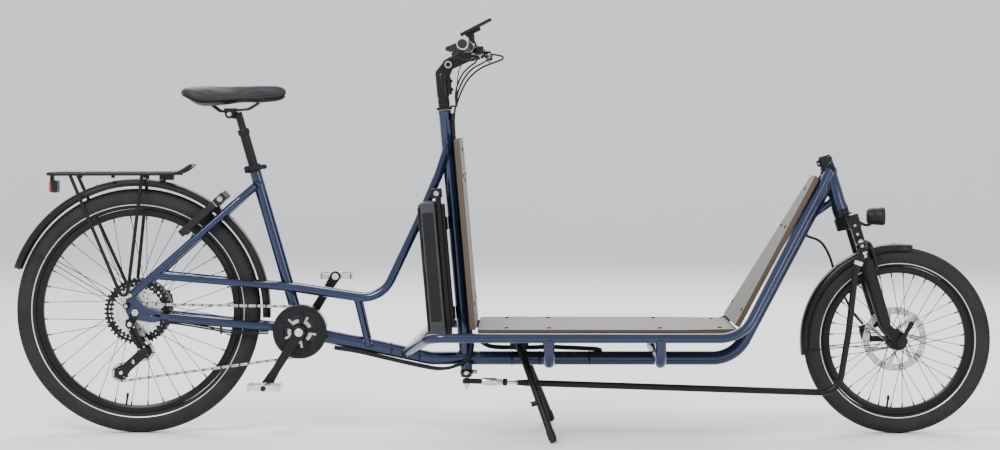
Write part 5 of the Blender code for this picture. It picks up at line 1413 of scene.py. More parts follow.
def saddle_sections(steps=5):
    """Smoothly blended saddle stations: (x, half width, top, bottom) as vectors."""
    stations = [Vector(s) for s in SADDLE_STATIONS]
    return smooth_route(stations, steps)


def saddle_ring(station, low_share, high_share, narrow=0.0, inset=0.0):
    """A ring round the saddle at a station, from one share of its height to another."""
    x, half, top, bottom = station
    ring = []
    for k in range(28):
        a = 2 * math.pi * k / 28
        c, s = math.cos(a), math.sin(a)
        y = (half - narrow) * math.copysign(abs(c) ** 0.62, c)
        share = 0.42 + 0.58 * math.copysign(abs(s) ** 0.75,
                                            s) if s > 0 else 0.42 + 0.42 * math.copysign(abs(s) ** 0.85, s)
        share = min(max(share, low_share), high_share)
        ring.append(Vector((x + MIDDLE, y, bottom + (top - bottom) * share - inset)))
    return ring


def pinned_low(obj, level):
    """Holds the vertices below a share of the saddle's height, where the pad is fixed to its base."""
    group = obj.vertex_groups.new(name="held")
    group.add([v.index for v in obj.data.vertices if v.co.z < level], 1.0, "REPLACE")
    return group.name


def puffed(obj, frames=18, furthest=0.007):
    """Fills the pad by a short cloth run with pressure; each point stays within reach of its start."""
    grid = obj.modifiers.new("Even", "REMESH")
    grid.mode = "VOXEL"
    grid.voxel_size = 0.0045
    graph = bpy.context.evaluated_depsgraph_get()
    obj.data = bpy.data.meshes.new_from_object(obj.evaluated_get(graph))
    obj.modifiers.clear()
    start = [v.co.copy() for v in obj.data.vertices]
    cloth = obj.modifiers.new("Filling", "CLOTH")
    cloth.settings.quality = 5
    cloth.settings.mass = 0.3
    cloth.settings.tension_stiffness = 12
    cloth.settings.compression_stiffness = 12
    cloth.settings.bending_stiffness = 1.2
    cloth.settings.use_pressure = True
    cloth.settings.uniform_pressure_force = 4
    cloth.settings.effector_weights.gravity = 0
    cloth.settings.vertex_group_mass = pinned_low(obj, 0.9235)
    cloth.point_cache.frame_start = 1
    cloth.point_cache.frame_end = frames
    scene = bpy.context.scene
    for frame_number in range(1, frames + 1):
        scene.frame_set(frame_number)
    graph = bpy.context.evaluated_depsgraph_get()
    filled = bpy.data.meshes.new_from_object(obj.evaluated_get(graph))
    for vertex, rest, moved in zip(obj.data.vertices, start, filled.vertices):
        step = moved.co - rest
        if step.length > furthest:
            step *= furthest / step.length
        vertex.co = rest + step
    obj.modifiers.clear()
    obj.vertex_groups.clear()
    bpy.data.meshes.remove(filled)
    scene.frame_set(1)
    obj.data.shade_smooth()
    finer = obj.modifiers.new("Smooth", "SUBSURF")
    finer.levels = finer.render_levels = 1


def make_saddle():
    sections = saddle_sections()
    pad = Shape().rings([saddle_ring(s, 0.0, 1.0, 0.0022, 0.0012) for s in sections], closed=False)
    made = piece("saddle_padding", pad, SKIN, None, angle=180)
    puffed(made)
    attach(made, "seat_head")
    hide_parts("saddle")
    base = Shape().rings([saddle_ring(s, 0.0, 0.20, 0.0030, 0.0028) for s in sections[1:-1]], closed=False)
    piece("saddle_base", base, PLASTIC, "seat_head", angle=50)
    edges = Shape()
    for side in (-1, 1):
        line = [Vector((s[0] + MIDDLE, side * (s[1] - 0.0006),
                        s[3] + (s[2] - s[3]) * 0.30)) for s in sections[1:-1]]
        edges.tube(line, 0.0012, 8)
    piece("saddle_piping", edges, SKIN, "seat_head")


def make_seat_post():
    post = [(0, 0.40), (0.0137, 0.40), (0.0137, 0.5640), (0.0160, 0.5660), (0.0165, 0.5680),
            (0.0165, 0.5800), (0.0155, 0.5818)]
    post += [(0.0113, 0.5818), (0.0113, 0.5300), (0, 0.5300)]
    shape = Shape().turned(post, facing(BOTTOM_BRACKET, SEAT_DIRECTION), 40)
    piece("seat_post_tube", shape, SATIN, "seat_post", ["seat_post"])
    head = row(-0.7480, 0, 0.8870)
    shape = Shape().rod(at_seat(0.5650), at_seat(0.6300), 0.0106, 32)
    shape.prism(link_outline(at_seat(0.6200), head, 0.0095, 0.0115), 0.0190, across_y(Vector((0, 0, 0))))
    profile = [(0, -0.027), (0.0115, -0.027), (0.0125, -0.0255), (0.0125, 0.0255), (0.0115, 0.027),
               (0, 0.027)]
    shape.turned(profile, across_y(head), 32)
    shape.block((0.036, 0.030, 0.006), stood(head + Vector((0.002, 0, 0.0135))))
    for side in (-1, 1):
        shape.block((0.028, 0.011, 0.012), stood(head + Vector((0, side * 0.021, 0.008))))
    piece("seat_clamp_head", shape, SATIN, "seat_head", ["seat_post_head"], bevel=0.0014)
    bits, rails = Shape(), Shape()
    for side in (-1, 1):
        bits.bolt(head + ACROSS * side * 0.0270, ACROSS * side, 0.0064, 0.0030)
        spread = side * 0.021
        line = [row(-0.826, side * 0.028, 0.9180), row(-0.7960, spread, 0.9110), row(-0.7740, spread, 0.8940)]
        line += [row(-0.6970, spread, 0.9005), row(-0.6680, side * 0.016, 0.9180)]
        rails.tube(bent(line, [0.02, 0.015, 0.02], 8), 0.0035, 14)
    piece("seat_clamp_bolts", bits, SILVER, "seat_head")
    piece("saddle_rails", rails, SATIN, "seat_head")


def make_clamp_lever():
    start = at_seat(0.470, 0, -0.0230) + Vector((-0.020, 0, 0))
    end = start + Vector((0.052, 0, 0.004))
    shape = Shape().prism(link_outline(start, end, 0.0055, 0.0065, 10), 0.0040, across_y(Vector((0, 0, 0))))
    for i, point in enumerate(shape.points):
        share = (point.x - start.x) / 0.052
        shape.points[i] = point + ACROSS * (start.y - 0.004 * max(0.0, share) ** 2)
    shape.bolt(start - ACROSS * 0.0018, -ACROSS, 0.0050, 0.0024)
    piece("seat_clamp_quick_lever", shape, SATIN, "seat_clamp_lever", ["seat_clamp_lever"],
          bevel=0.0010)


# ---------------------------------------------------------------- steering and cockpit


def make_steering():
    stub = Shape().rod(at_column(-0.010), at_column(0.012), 0.0125, 36)
    where = facing(COLUMN_BOTTOM, COLUMN_AXIS)
    stub.turned([(0.0125, 0.0000), (0.0190, 0.0000), (0.0198, 0.0010), (0.0198, 0.0058), (0.0165, 0.0068),
                 (0.0125, 0.0068)], where, 36, closed=True)
    heading = Vector((ROD_REAR.x, ROD_Y, 0.170)) - Vector((COLUMN_BOTTOM.x, 0, 0.170))
    outline = arc((0, -heading.length), 0.0140, 180, 360, 12) + arc((0, 0), 0.0200, -10, 190, 18)
    stub.prism(outline, 0.0070, Matrix.Translation(Vector((COLUMN_BOTTOM.x, 0, 0.170))))
    stub.block((0.012, 0.010, 0.0100), Matrix.Translation(Vector((COLUMN_BOTTOM.x + 0.0220, 0, 0.170))))
    piece("steering_arm", stub, SATIN, "steering_column", ["steering_shaft"], bevel=0.0012)
    stud = Shape().nut(Vector((ROD_REAR.x, ROD_Y, 0.1735)), UP, 0.0075, 0.0060)
    stud.rod(Vector((ROD_REAR.x, ROD_Y, 0.1585)), Vector((ROD_REAR.x, ROD_Y, 0.1700)), 0.0045, 18)
    stud.bolt(Vector((COLUMN_BOTTOM.x + 0.0220, -0.0050, 0.170)), -ACROSS, 0.0034, 0.0022)
    ball = [(0.0098 * math.cos(a),
             0.0098 * math.sin(a)) for a in (math.pi * (k / 10 - 0.5) for k in range(11))]
    stud.turned(ball, stood(Vector((ROD_REAR.x, ROD_Y, 0.1700))), 28)
    piece("steering_arm_stud", stud, SILVER, "steering_column")
    top = COLUMN_LENGTH
    collar = [(0.0135, top + 0.0008), (0.0212, top + 0.0008), (0.0220, top + 0.0018), (0.0220, top + 0.0072),
              (0.0212, top + 0.0082)]
    collar += [(0.0175, top + 0.0095), (0.0160, top + 0.0110)]
    riser = [(0.0158, top + 0.0130)]
    for low, high in ((0.7490, 0.7570), (0.7580, 0.7640)):
        riser += [(0.0155, low), (0.0166, low + 0.0006), (0.0166, high - 0.0006), (0.0155, high)]
    riser += [(0.0155, 0.7690), (0.0172, 0.7700), (0.0172, 0.8290), (0.0165, 0.8310), (0.0155, 0.8330),
              (0.0140, 0.8375), (0, 0.8380)]
    shape = Shape().turned([(0, top + 0.0008), *collar, *riser], where, 48)
    tongue = link_outline(at_column(0.815), STEM_PIVOT, 0.0150, 0.0165, 16)
    shape.prism(tongue, 0.0160, across_y(Vector((0, 0, 0))))
    for across in (-0.0055, 0.0055):
        shape.block((0.0120, 0.0085, 0.050), stood(at_column(0.7995, 0.0190, across), lean(COLUMN_AXIS)))
    piece("riser", shape, SATIN, "steering_column", bevel=0.0010, angle=30)
    trim = Shape()
    for height in (0.7885, 0.8115):
        trim.turned([(0, -0.0120), (0.0056, -0.0120), (0.0060, -0.0110), (0.0060, 0.0110), (0.0056, 0.0120),
                     (0, 0.0120)],
                    across_y(at_column(height, 0.0235)), 24)
        trim.bolt(at_column(height, 0.0235, -0.0118), -ACROSS, 0.0036, 0.0030)
    knuckle = Shape().prism(link_outline(at_column(0.8330), STEM_PIVOT, 0.0172, 0.0150, 16), 0.0290,
                            across_y(Vector((0, 0, 0))))
    piece("riser_knuckle", knuckle, SATIN, "steering_column", bevel=0.0050, segments=4)
    piece("riser_clamp_bolts", trim, ANODISED, "steering_column")


def make_stem():
    way = (BAR_CENTRE - STEM_PIVOT).normalized()
    shape = Shape()
    for side in (-1, 1):
        shape.prism(link_outline(STEM_PIVOT, BAR_CENTRE, 0.0165, 0.0175, 16), 0.0078,
                    across_y(ACROSS * side * 0.01255))
    shape.prism(link_outline(STEM_PIVOT + way * 0.0390, BAR_CENTRE, 0.0150, 0.0160, 16), 0.0190,
                across_y(Vector((0, 0, 0))))
    clamp = [(0.0161, -0.022), (0.0200, -0.022), (0.0205, -0.0212), (0.0205, 0.0212), (0.0200, 0.022),
             (0.0161, 0.022)]
    shape.turned(clamp, across_y(BAR_CENTRE), 40, closed=True)
    square = Vector((-way.z, 0, way.x))
    for up in (-1, 1):
        for side in (-1, 1):
            shape.block((0.012, 0.009, 0.009),
                        stood(BAR_CENTRE + way * 0.0120 + square * up * 0.0195 + ACROSS * side * 0.0140,
                                                     Matrix.Rotation(-math.atan2(way.z, way.x), 4, "Y")))
    piece("stem_body", shape, SATIN, "handlebar", ["stem"], bevel=0.0016)
    bolts = Shape()
    for up in (-1, 1):
        for side in (-1, 1):
            bolts.bolt(BAR_CENTRE + way * 0.0175 + square * up * 0.0195 + ACROSS * side * 0.0140, way,
                       0.0035, 0.0030)
    hub = Shape()
    for side in (-1, 1):
        rings = [(0, 0), (0.0150, 0), (0.0150, 0.0018), (0.0138, 0.0024), (0.0128, 0.0012), (0.0112, 0.0012),
                 (0, 0.0012)]
        hub.turned(rings, facing(STEM_PIVOT + ACROSS * side * 0.0164, ACROSS * side), 36)
        rings = [(0.0062, 0.0010), (0.0104, 0.0010), (0.0104, 0.0024), (0.0098, 0.0030), (0.0068, 0.0030),
                 (0.0062, 0.0024)]
        bolts.turned(rings, facing(STEM_PIVOT + ACROSS * side * 0.0164, ACROSS * side), 36, closed=True)
    piece("stem_pivot_caps", hub, ANODISED, "handlebar")
    piece("stem_bolts", bolts, STEEL, "handlebar")


BAR_POINTS = ((0.0, 0, 0), (0.040, 0, 0), (0.048, 0.0001, 0.0006), (0.080, 0.0008, 0.0030),
              (0.120, 0.0015, 0.006))
BAR_POINTS += ((0.160, -0.0005, 0.0105), (0.199, -0.0035, 0.014), (0.327, -0.0163, 0.019),
               (0.334, -0.0170, 0.0193))


def on_bar(side, index):
    y, x, z = BAR_POINTS[index]
    return BAR_CENTRE + Vector((x, side * y, z))


def make_handlebar():
    points = [on_bar(-1, i) for i in range(len(BAR_POINTS) - 1, 0, -1)]
    points += [on_bar(1, i) for i in range(len(BAR_POINTS))]
    half = [BAR_CLAMP_RADIUS] * 2 + [BAR_RADIUS] * 7
    shape = Shape().tube(points, half[:0:-1] + half, 32)
    piece("handlebar_tube", shape, SATIN, "handlebar", ["handlebar"], angle=50)
    grips, rings = Shape(), Shape()
    for side in (-1, 1):
        start, end = on_bar(side, 6), on_bar(side, 7)
        length = (end - start).length
        where = facing(start, end - start)
        profile = [(BAR_RADIUS, 0.004), (0.0140, 0.004)]
        count = 20
        for k in range(count):
            low = 0.006 + (length - 0.014) * k / count
            step = (length - 0.014) / count
            profile += [(0.0147, low), (0.0154, low + 0.25 * step), (0.0154, low + 0.70 * step),
                        (0.0147, low + 0.95 * step)]
        profile += [(0.0148, length - 0.006), (BAR_RADIUS, length - 0.006)]
        grips.turned(profile, where, 40, closed=True)
        inside = [(BAR_RADIUS, -0.002), (0.0150, -0.002), (0.0158, -0.001), (0.0158, 0.003)]
        inside += [(0.0150, 0.004), (BAR_RADIUS, 0.004)]
        rings.turned(inside, where, 40, closed=True)
        outside = [(BAR_RADIUS, length - 0.006), (0.0156, length - 0.006), (0.0160, length - 0.0045),
                   (0.0160, length + 0.0010)]
        outside += [(0.0150, length + 0.0020), (BAR_RADIUS, length + 0.0020)]
        rings.turned(outside, where, 40, closed=True)
        cap = [(0, length), (0.0128, length), (0.0128, length + 0.0045), (0.0115, length + 0.0070),
               (0, length + 0.0078)]
        grips.turned(cap, where, 36)
        for share, reach, thick in ((0.81, 0.046, 0.0100), (0.58, 0.043, 0.0105), (0.37, 0.034, 0.0110),
                                    (0.18, 0.022, 0.0110)):
            root = start.lerp(end, share) + Vector((0.004, 0, 0))
            tip = root + Vector((-reach, 0, -0.0120))
            wing = link_outline(root, tip, 0.0115, thick * 0.62, 10)
            grips.prism(wing, length * 0.26, across_y(ACROSS * root.y))
    piece("grips", grips, GRIP, "handlebar", angle=30)
    piece("grip_rings", rings, SILVER, "handlebar")


def make_brakes():
    body, metal = Shape(), Shape()
    for side in (-1, 1):
        bar = BAR_CENTRE + Vector((-0.0008, side * 0.163, 0.0106))
        along = (on_bar(side, 6) - on_bar(side, 4)).normalized()
        body.turned([(0.0114, -0.007), (0.0152, -0.007), (0.0152, 0.007), (0.0114, 0.007)],
                    facing(bar, along), 32, closed=True)
        centre = row(-0.0540, side * 0.163, 1.0570)
        case = facing(centre, along)
        body.turned([(0, -0.014), (0.0105, -0.014), (0.0118, -0.012), (0.0118, 0.018), (0.0100, 0.022),
                     (0, 0.022)], case, 28)
        body.block((0.030, 0.012, 0.014), stood(centre + Vector((-0.008, 0, 0.002))))
        body.block((0.022, 0.034, 0.010), stood(centre + Vector((0.001, side * 0.002, 0.0085))))
        middle = Matrix.Translation(row(-0.0305, side * 0.156, 1.0485))
        body.prism(arc((0, 0), 0.0095, 0, 360, 18)[:-1], 0.0180, middle)
        metal.bolt(row(-0.0305, side * 0.156, 1.0572), UP, 0.0050, 0.0020)
        for shift in (-0.012, 0.013):
            metal.bolt(centre + Vector((0.001, shift, 0.0134)), UP, 0.0026, 0.0010)
        metal.bolt(bar + Vector((0.013, 0, -0.008)), Vector((0.2, 0, -1)), 0.0032, 0.0030)
        metal.turned([(0, 0), (0.0040, 0), (0.0040, 0.008), (0.0030, 0.010), (0, 0.010)],
                     facing(centre - along * 0.013, -along), 12)
    piece("brake_masters", body, ANODISED, "handlebar", bevel=0.0022, segments=3)
    piece("brake_master_bolts", metal, STEEL, "handlebar")
    for word, side in SIDES.items():
        line = [row(-0.0285, side * 0.152, 1.0480), row(-0.0262, side * 0.178, 1.0462),
                row(-0.0260, side * 0.200, 1.0440)]
        line += [row(-0.0300, side * 0.250, 1.0415), row(-0.0330, side * 0.288, 1.0402),
                 row(-0.0330, side * 0.300, 1.0400)]
        points = smooth_route(line, 8)
        wide = [0.0050 + 0.0016 * math.sin(math.pi * min(1, k / 24)) for k in range(len(points))]
        lever = Shape().tube(points, wide, 20, side=UP, flat=0.62)
        lever.turned([(0, -0.0058), (0.0030, -0.0050), (0.0056, -0.0020), (0.0058, 0), (0.0056, 0.0020),
                      (0.0030, 0.0050), (0, 0.0058)],
                     facing(row(-0.0330, side * 0.2985, 1.0400), UP), 20)
        piece(f"brake_lever_{word}_blade", lever, SATIN, f"brake_lever_{word}", [f"brake_lever_{word}"],
              angle=60)


def make_shifter():
    centre = row(-0.0870, -0.168, 1.0450)
    pod = Shape().block((0.024, 0.034, 0.016), stood(centre + UP * 0.001))
    pod.turned([(0, -0.0110), (0.0120, -0.0110), (0.0132, -0.0095), (0.0132, -0.0030), (0, -0.0020)],
               stood(centre), 32)
    bar = BAR_CENTRE + Vector((-0.0020, -0.180, 0.0124))
    along = (on_bar(-1, 6) - on_bar(-1, 4)).normalized()
    pod.turned([(0.0114, -0.005), (0.0146, -0.005), (0.0146, 0.005), (0.0114, 0.005)], facing(bar, along),
               32, closed=True)
    pod.rod(centre + Vector((0.010, 0.012, 0)), centre + Vector((0.026, 0.024, -0.002)), 0.0036, 14)
    piece("shifter_pod", pod, PLASTIC, "handlebar", bevel=0.0028, segments=3)
    tip = row(-0.1170, -0.168, 1.0400)
    outline = arc((-0.0125, 0), 0.0062, 90, 270, 10) + arc((0.0140, 0), 0.0042, -90, 90, 8)
    paddle = Shape().prism(outline, 0.0038, Matrix.Translation(tip))
    for k in range(4):
        paddle.block((0.0012, 0.0080, 0.0010),
                     Matrix.Translation(tip + Vector((-0.0150 + 0.0030 * k, 0, -0.0022))))
    piece("shifter_thumb_paddle", paddle, PLASTIC, "shifter", ["shifter_paddle"],
          bevel=0.0010)


def make_display():
    slope = Matrix.Rotation(-math.atan2(0.0444, 0.0861), 4, "Y")
    centre = row(-0.0656, 0, 1.1276)
    where = Matrix.Translation(centre) @ slope
    shell = Shape().prism(rounded(0.0965, 0.0595, (0.009,) * 4, 6), 0.0086, where)
    shell.prism(rounded(0.046, 0.036, (0.006,) * 4, 6), 0.0100,
                where @ Matrix.Translation((-0.0130, 0, -0.0080)))
    neck = [row(-0.0700, 0, 1.0750), row(-0.0760, 0, 1.0900), row(-0.0800, 0, 1.1080)]
    shell.tube(neck, [0.0085, 0.0080, 0.0100], 24)
    shell.turned([(0.0162, -0.0085), (0.0212, -0.0085), (0.0212, 0.0085), (0.0162, 0.0085)],
                 across_y(BAR_CENTRE + ACROSS * 0.0310), 36, closed=True)
    shell.block((0.012, 0.040, 0.010), stood(row(-0.0700, 0.018, 1.0790)))
    piece("display_case", shell, PLASTIC, "display", ["display"], bevel=0.0016, segments=3)
    screen = Shape().prism(rounded(0.082, 0.048, (0.005,) * 4, 5), 0.0008,
                           where @ Matrix.Translation((0.002, 0, 0.0043)))
    piece("display_screen", screen, SCREEN, "display", bevel=0.0003)
    marks = Shape()
    for k in range(3):
        marks.block((0.0030, 0.0080, 0.0006),
                    where @ Matrix.Translation((-0.0425, -0.014 + 0.014 * k, 0.0044)))
    piece("display_buttons", marks, GRIP, "display", bevel=0.0003)


def make_tie_rod():
    rear_way = Vector((1, 0, -0.0318)).normalized()
    route = [ROD_REAR + rear_way * 0.160, row(0.930, ROD_Y, 0.1230), row(0.9566, ROD_Y, 0.2866)]
    route += [row(0.9750, ROD_Y, 0.455), ROD_FRONT - Vector((0.004, 0, 0.016))]
    shape = Shape().tube(bent(route, [0.055, 0.30, 0.08], 20), 0.0090, 28)
    ends = (
        (ROD_REAR, rear_way, UP, 0.043),
        (ROD_FRONT, (route[3] - ROD_FRONT).normalized(), HEAD_AXIS, 0.034),
    )
    metal = Shape()
    for end, way, up, reach in ends:
        shape.rod(end + way * 0.006, end + way * reach, 0.0072, 24)
        shape.turned([(0, -0.0070), (0.0092, -0.0070), (0.0112, -0.0050), (0.0112, 0.0035), (0.0085, 0.0060),
                      (0, 0.0068)], facing(end, up), 28)
        metal.turned([(0, 0), (0.0090, 0), (0.0090, 0.0050), (0.0050, 0.0060), (0.0050, 0.0150),
                      (0.0035, 0.0165), (0, 0.0165)],
                     facing(end - up * 0.0070, -up), 6)
    metal.nut(ROD_FRONT + ends[1][1] * 0.034, ends[1][1], 0.0125, 0.0110)
    where = facing(ROD_REAR, rear_way)
    metal.turned([(0, 0.0425), (0.0100, 0.0425), (0.0106, 0.0440), (0.0106, 0.0810), (0.0100, 0.0825),
                  (0, 0.0825)], where, 28)
    metal.nut(ROD_REAR + rear_way * 0.0825, rear_way, 0.0092, 0.0150)
    metal.rod(ROD_REAR + rear_way * 0.0970, ROD_REAR + rear_way * 0.1400, 0.0045, 20)
    metal.nut(ROD_REAR + rear_way * 0.1330, rear_way, 0.0080, 0.0065)
    shape.turned([(0, 0.0990), (0.0094, 0.0990), (0.0098, 0.1000), (0.0098, 0.1110), (0.0090, 0.1120),
                  (0, 0.1120)], where, 28)
    shape.turned([(0, 0.1395), (0.0072, 0.1395), (0.0090, 0.1640), (0, 0.1640)], where, 28)
    piece("tie_rod_tube", shape, SATIN, "tie_rod", ["tie_rod"], angle=45)
    piece("tie_rod_nuts", metal, SILVER, "tie_rod")


# ---------------------------------------------------------------- fork


def make_fork_crown():
    turn = lean(HEAD_AXIS)
    where = Matrix.Translation(at_fork(-0.0368)) @ turn
    right = arc((LEG_OFFSET, -LEG_SPREAD), 0.0170, 150, 340, 16)
    left = arc((LEG_OFFSET, LEG_SPREAD), 0.0170, 20, 210, 16)
    outline = right + [(0.0340, -0.030), (0.0340, 0.030)] + left
    outline += arc((0, 0), 0.0260, 130, 230, 12)
    shape = Shape().prism(outline, 0.0335, where)
    for side in (-1, 1):
        boss = facing(at_fork(0, LEG_OFFSET, side * LEG_SPREAD), HEAD_AXIS)
        shape.turned([(0.0100, -0.0560), (0.0165, -0.0560), (0.0170, -0.0550), (0.0170, -0.0180),
                      (0.0145, -0.0155), (0, -0.0150)], boss, 36)
    race = [(0, -0.0260), (0.0205, -0.0250), (0.0225, -0.0080), (0.0225, -0.0030), (0.0215, -0.0012),
            (0, -0.0012)]
    shape.turned(race, facing(HEAD_BOTTOM, HEAD_AXIS), 48)
    top = [(0, 0.0008), (0.0203, 0.0008), (0.0205, 0.0030), (0.0200, 0.0100), (0.0188, 0.0112),
           (0.0188, 0.0130), (0.0198, 0.0142)]
    top += [(0.0198, 0.0350), (0.0188, 0.0362), (0.0170, 0.0370), (0.0165, 0.0410), (0.0150, 0.0418),
            (0, 0.0418)]
    shape.turned([(r, HEAD_LENGTH + h) for r, h in top], facing(HEAD_BOTTOM, HEAD_AXIS), 48)
    for across in (-0.0060, 0.0060):
        shape.block((0.009, 0.0095, 0.0170), stood(at_fork(HEAD_LENGTH + 0.0246, -0.0205, across), turn))
    shape.block((0.024, 0.0065, 0.076), stood(at_fork(-0.0600, 0.0165, -0.0868), turn))
    tab = arc((0, -0.0090), 0.0120, 180, 360, 12) + [(0.012, 0.022), (-0.012, 0.022)]
    shape.prism(tab, 0.0060, Matrix.Translation(at_fork(-0.0955, 0.0165, -0.1060)) @ turn)
    piece("fork_crown_forged", shape, SATIN, "fork", ["fork_crown"], bevel=0.0030, segments=3)
    tubes = Shape()
    for side in (-1, 1):
        tubes.rod(at_fork(-0.200, LEG_OFFSET, side * LEG_SPREAD),
                  at_fork(-0.050, LEG_OFFSET, side * LEG_SPREAD), 0.0147, 36)
    piece("fork_stanchions", tubes, ANODISED, "fork")
    bolts = Shape()
    bolts.bolt(at_fork(HEAD_LENGTH + 0.0412), HEAD_AXIS, 0.0085, 0.0012)
    bolts.bolt(at_fork(HEAD_LENGTH + 0.0246, -0.0212, -0.0106), -ACROSS, 0.0026, 0.0030)
    for height in (-0.0450, -0.0700):
        bolts.bolt(at_fork(height, 0.0165, -0.0900), -ACROSS, 0.0042, 0.0030)
    bolts.nut(at_fork(-0.0925, 0.0165, ROD_Y), HEAD_AXIS, 0.0075, 0.0060)
    bolts.rod(at_fork(-0.1080, 0.0165, ROD_Y), at_fork(-0.0960, 0.0165, ROD_Y), 0.0045, 18)
    for side in (-1, 1):
        bolts.turned([(0, 0), (0.0110, 0), (0.0105, 0.0018), (0.0050, 0.0018), (0.0045, 0.0006), (0, 0.0006)],
                     facing(at_fork(-0.0152, LEG_OFFSET, side * LEG_SPREAD), HEAD_AXIS), 28)
    piece("fork_bolts", bolts, STEEL, "fork")


def make_fork_lowers():
    shape = Shape()
    for side in (-1, 1):
        where = facing(at_fork(0, LEG_OFFSET, side * LEG_SPREAD), HEAD_AXIS)
        profile = [(0, -0.300), (0.0152, -0.300), (0.0152, -0.1560), (0.0165, -0.1540), (0.0200, -0.1540),
                   (0.0205, -0.1560)]
        profile += [(0.0205, -0.1720), (0.0195, -0.1760), (0.0190, -0.2000), (0.0180, -0.3000),
                    (0.0165, -0.3300), (0.0120, -0.3440), (0, -0.3450)]
        shape.turned(profile, where, 36)
        low, high = sorted((side * 0.0503, side * 0.0640))
        leg_end = at_fork(-0.335, LEG_OFFSET)
        edge = link_outline(leg_end, FRONT_AXLE, 0.0120, 0.0150, 14)
        shape.pierced([edge, circle(0.0070, 20, (FRONT_AXLE.x, FRONT_AXLE.z))], high - low,
                      across_y(ACROSS * (low + high) / 2))
        shape.rod(at_fork(-0.335, LEG_OFFSET, side * 0.0560), at_fork(-0.318, LEG_OFFSET, side * 0.0660),
                  0.0125, 20)
    shape.prism(link_outline(at_fork(-0.335, LEG_OFFSET), row(1.0300, 0, 0.2850), 0.0080, 0.0080), 0.0100,
                across_y(ACROSS * 0.0580))
    shape.prism(link_outline(FRONT_AXLE, row(1.0300, 0, 0.2580), 0.0080, 0.0080), 0.0070,
                across_y(ACROSS * 0.0580))
    arch = [at_fork(-0.180, 0.0400, 0.0640), at_fork(-0.150, 0.0440, 0.0590), at_fork(-0.122, 0.0450, 0.0540)]
    arch += [at_fork(-0.109, 0.0445, 0.0380), at_fork(-0.106, 0.0440, 0.0150)]
    arch += [mirrored(point) for point in reversed(arch)]
    shape.tube(smooth_route(arch, 6), 0.0072, 20, flat=0.85)
    piece("fork_lowers_cast", shape, SATIN, "fork_lowers", ["fork_lowers"], bevel=0.0010,
          angle=40)
    seals = Shape()
    for side in (-1, 1):
        where = facing(at_fork(0, LEG_OFFSET, side * LEG_SPREAD), HEAD_AXIS)
        lip = [(0.0149, -0.1560), (0.0198, -0.1560), (0.0200, -0.1520), (0.0185, -0.1490), (0.0172, -0.1480),
               (0.0152, -0.1455), (0.0149, -0.1455)]
        seals.turned(lip, where, 36, closed=True)
    piece("fork_seals", seals, RUBBER, "fork_lowers")
    make_caliper("front_caliper", row(1.0243, 0.0590, 0.2715), lean(HEAD_AXIS), "fork_lowers", 1)
    fender = add_fender(Shape(), FRONT_AXLE, 0.268, 0.0290, 81, 189)
    piece("front_fender_rolled", fender, SATIN, "fork_lowers", ["front_fender"], angle=60)
    bolt = Shape().bolt(FRONT_AXLE + unit(92) * 0.2690, unit(92), 0.0055, 0.0028)
    piece("front_fender_bolt", bolt, STEEL, "fork_lowers")
    stays = Shape()
    for side in (-1, 1):
        rim = FRONT_AXLE + unit(186) * 0.2420 + ACROSS * side * 0.0300
        foot = row(1.0930, side * 0.0600, 0.2560)
        stays.tube([rim, rim.lerp(foot, 0.1) + ACROSS * side * 0.003, foot], 0.0013, 10)
    piece("front_fender_stays", stays, SATIN, "fork_lowers")


def make_front_axle():
    shape = Shape().rod(FRONT_AXLE - ACROSS * 0.0785, FRONT_AXLE + ACROSS * 0.0660, 0.0062, 24)
    shape.nut(FRONT_AXLE + ACROSS * 0.0642, ACROSS, 0.0100, 0.0030)
    tip = row(1.1335, 0, 0.3105)
    shape.turned([(0, 0.0640), (0.0105, 0.0640), (0.0110, 0.0655), (0.0110, 0.0770), (0, 0.0780)],
                 across_y(FRONT_AXLE), 28)
    heading = math.atan2(tip.z - FRONT_AXLE.z, tip.x - FRONT_AXLE.x)
    length = (tip - FRONT_AXLE).length
    outline = [*arc((length, 0), 0.0075, -90, 90, 12), (length * 0.55, 0.0055)]
    outline += [*arc((0, 0), 0.0095, 100, 260, 12), (length * 0.55, -0.0055)]
    shape.prism(outline, 0.0075, across_y(FRONT_AXLE + ACROSS * -0.0815, heading))
    piece("front_axle_lever", shape, SATIN, "front_axle", ["front_axle"], bevel=0.0014)


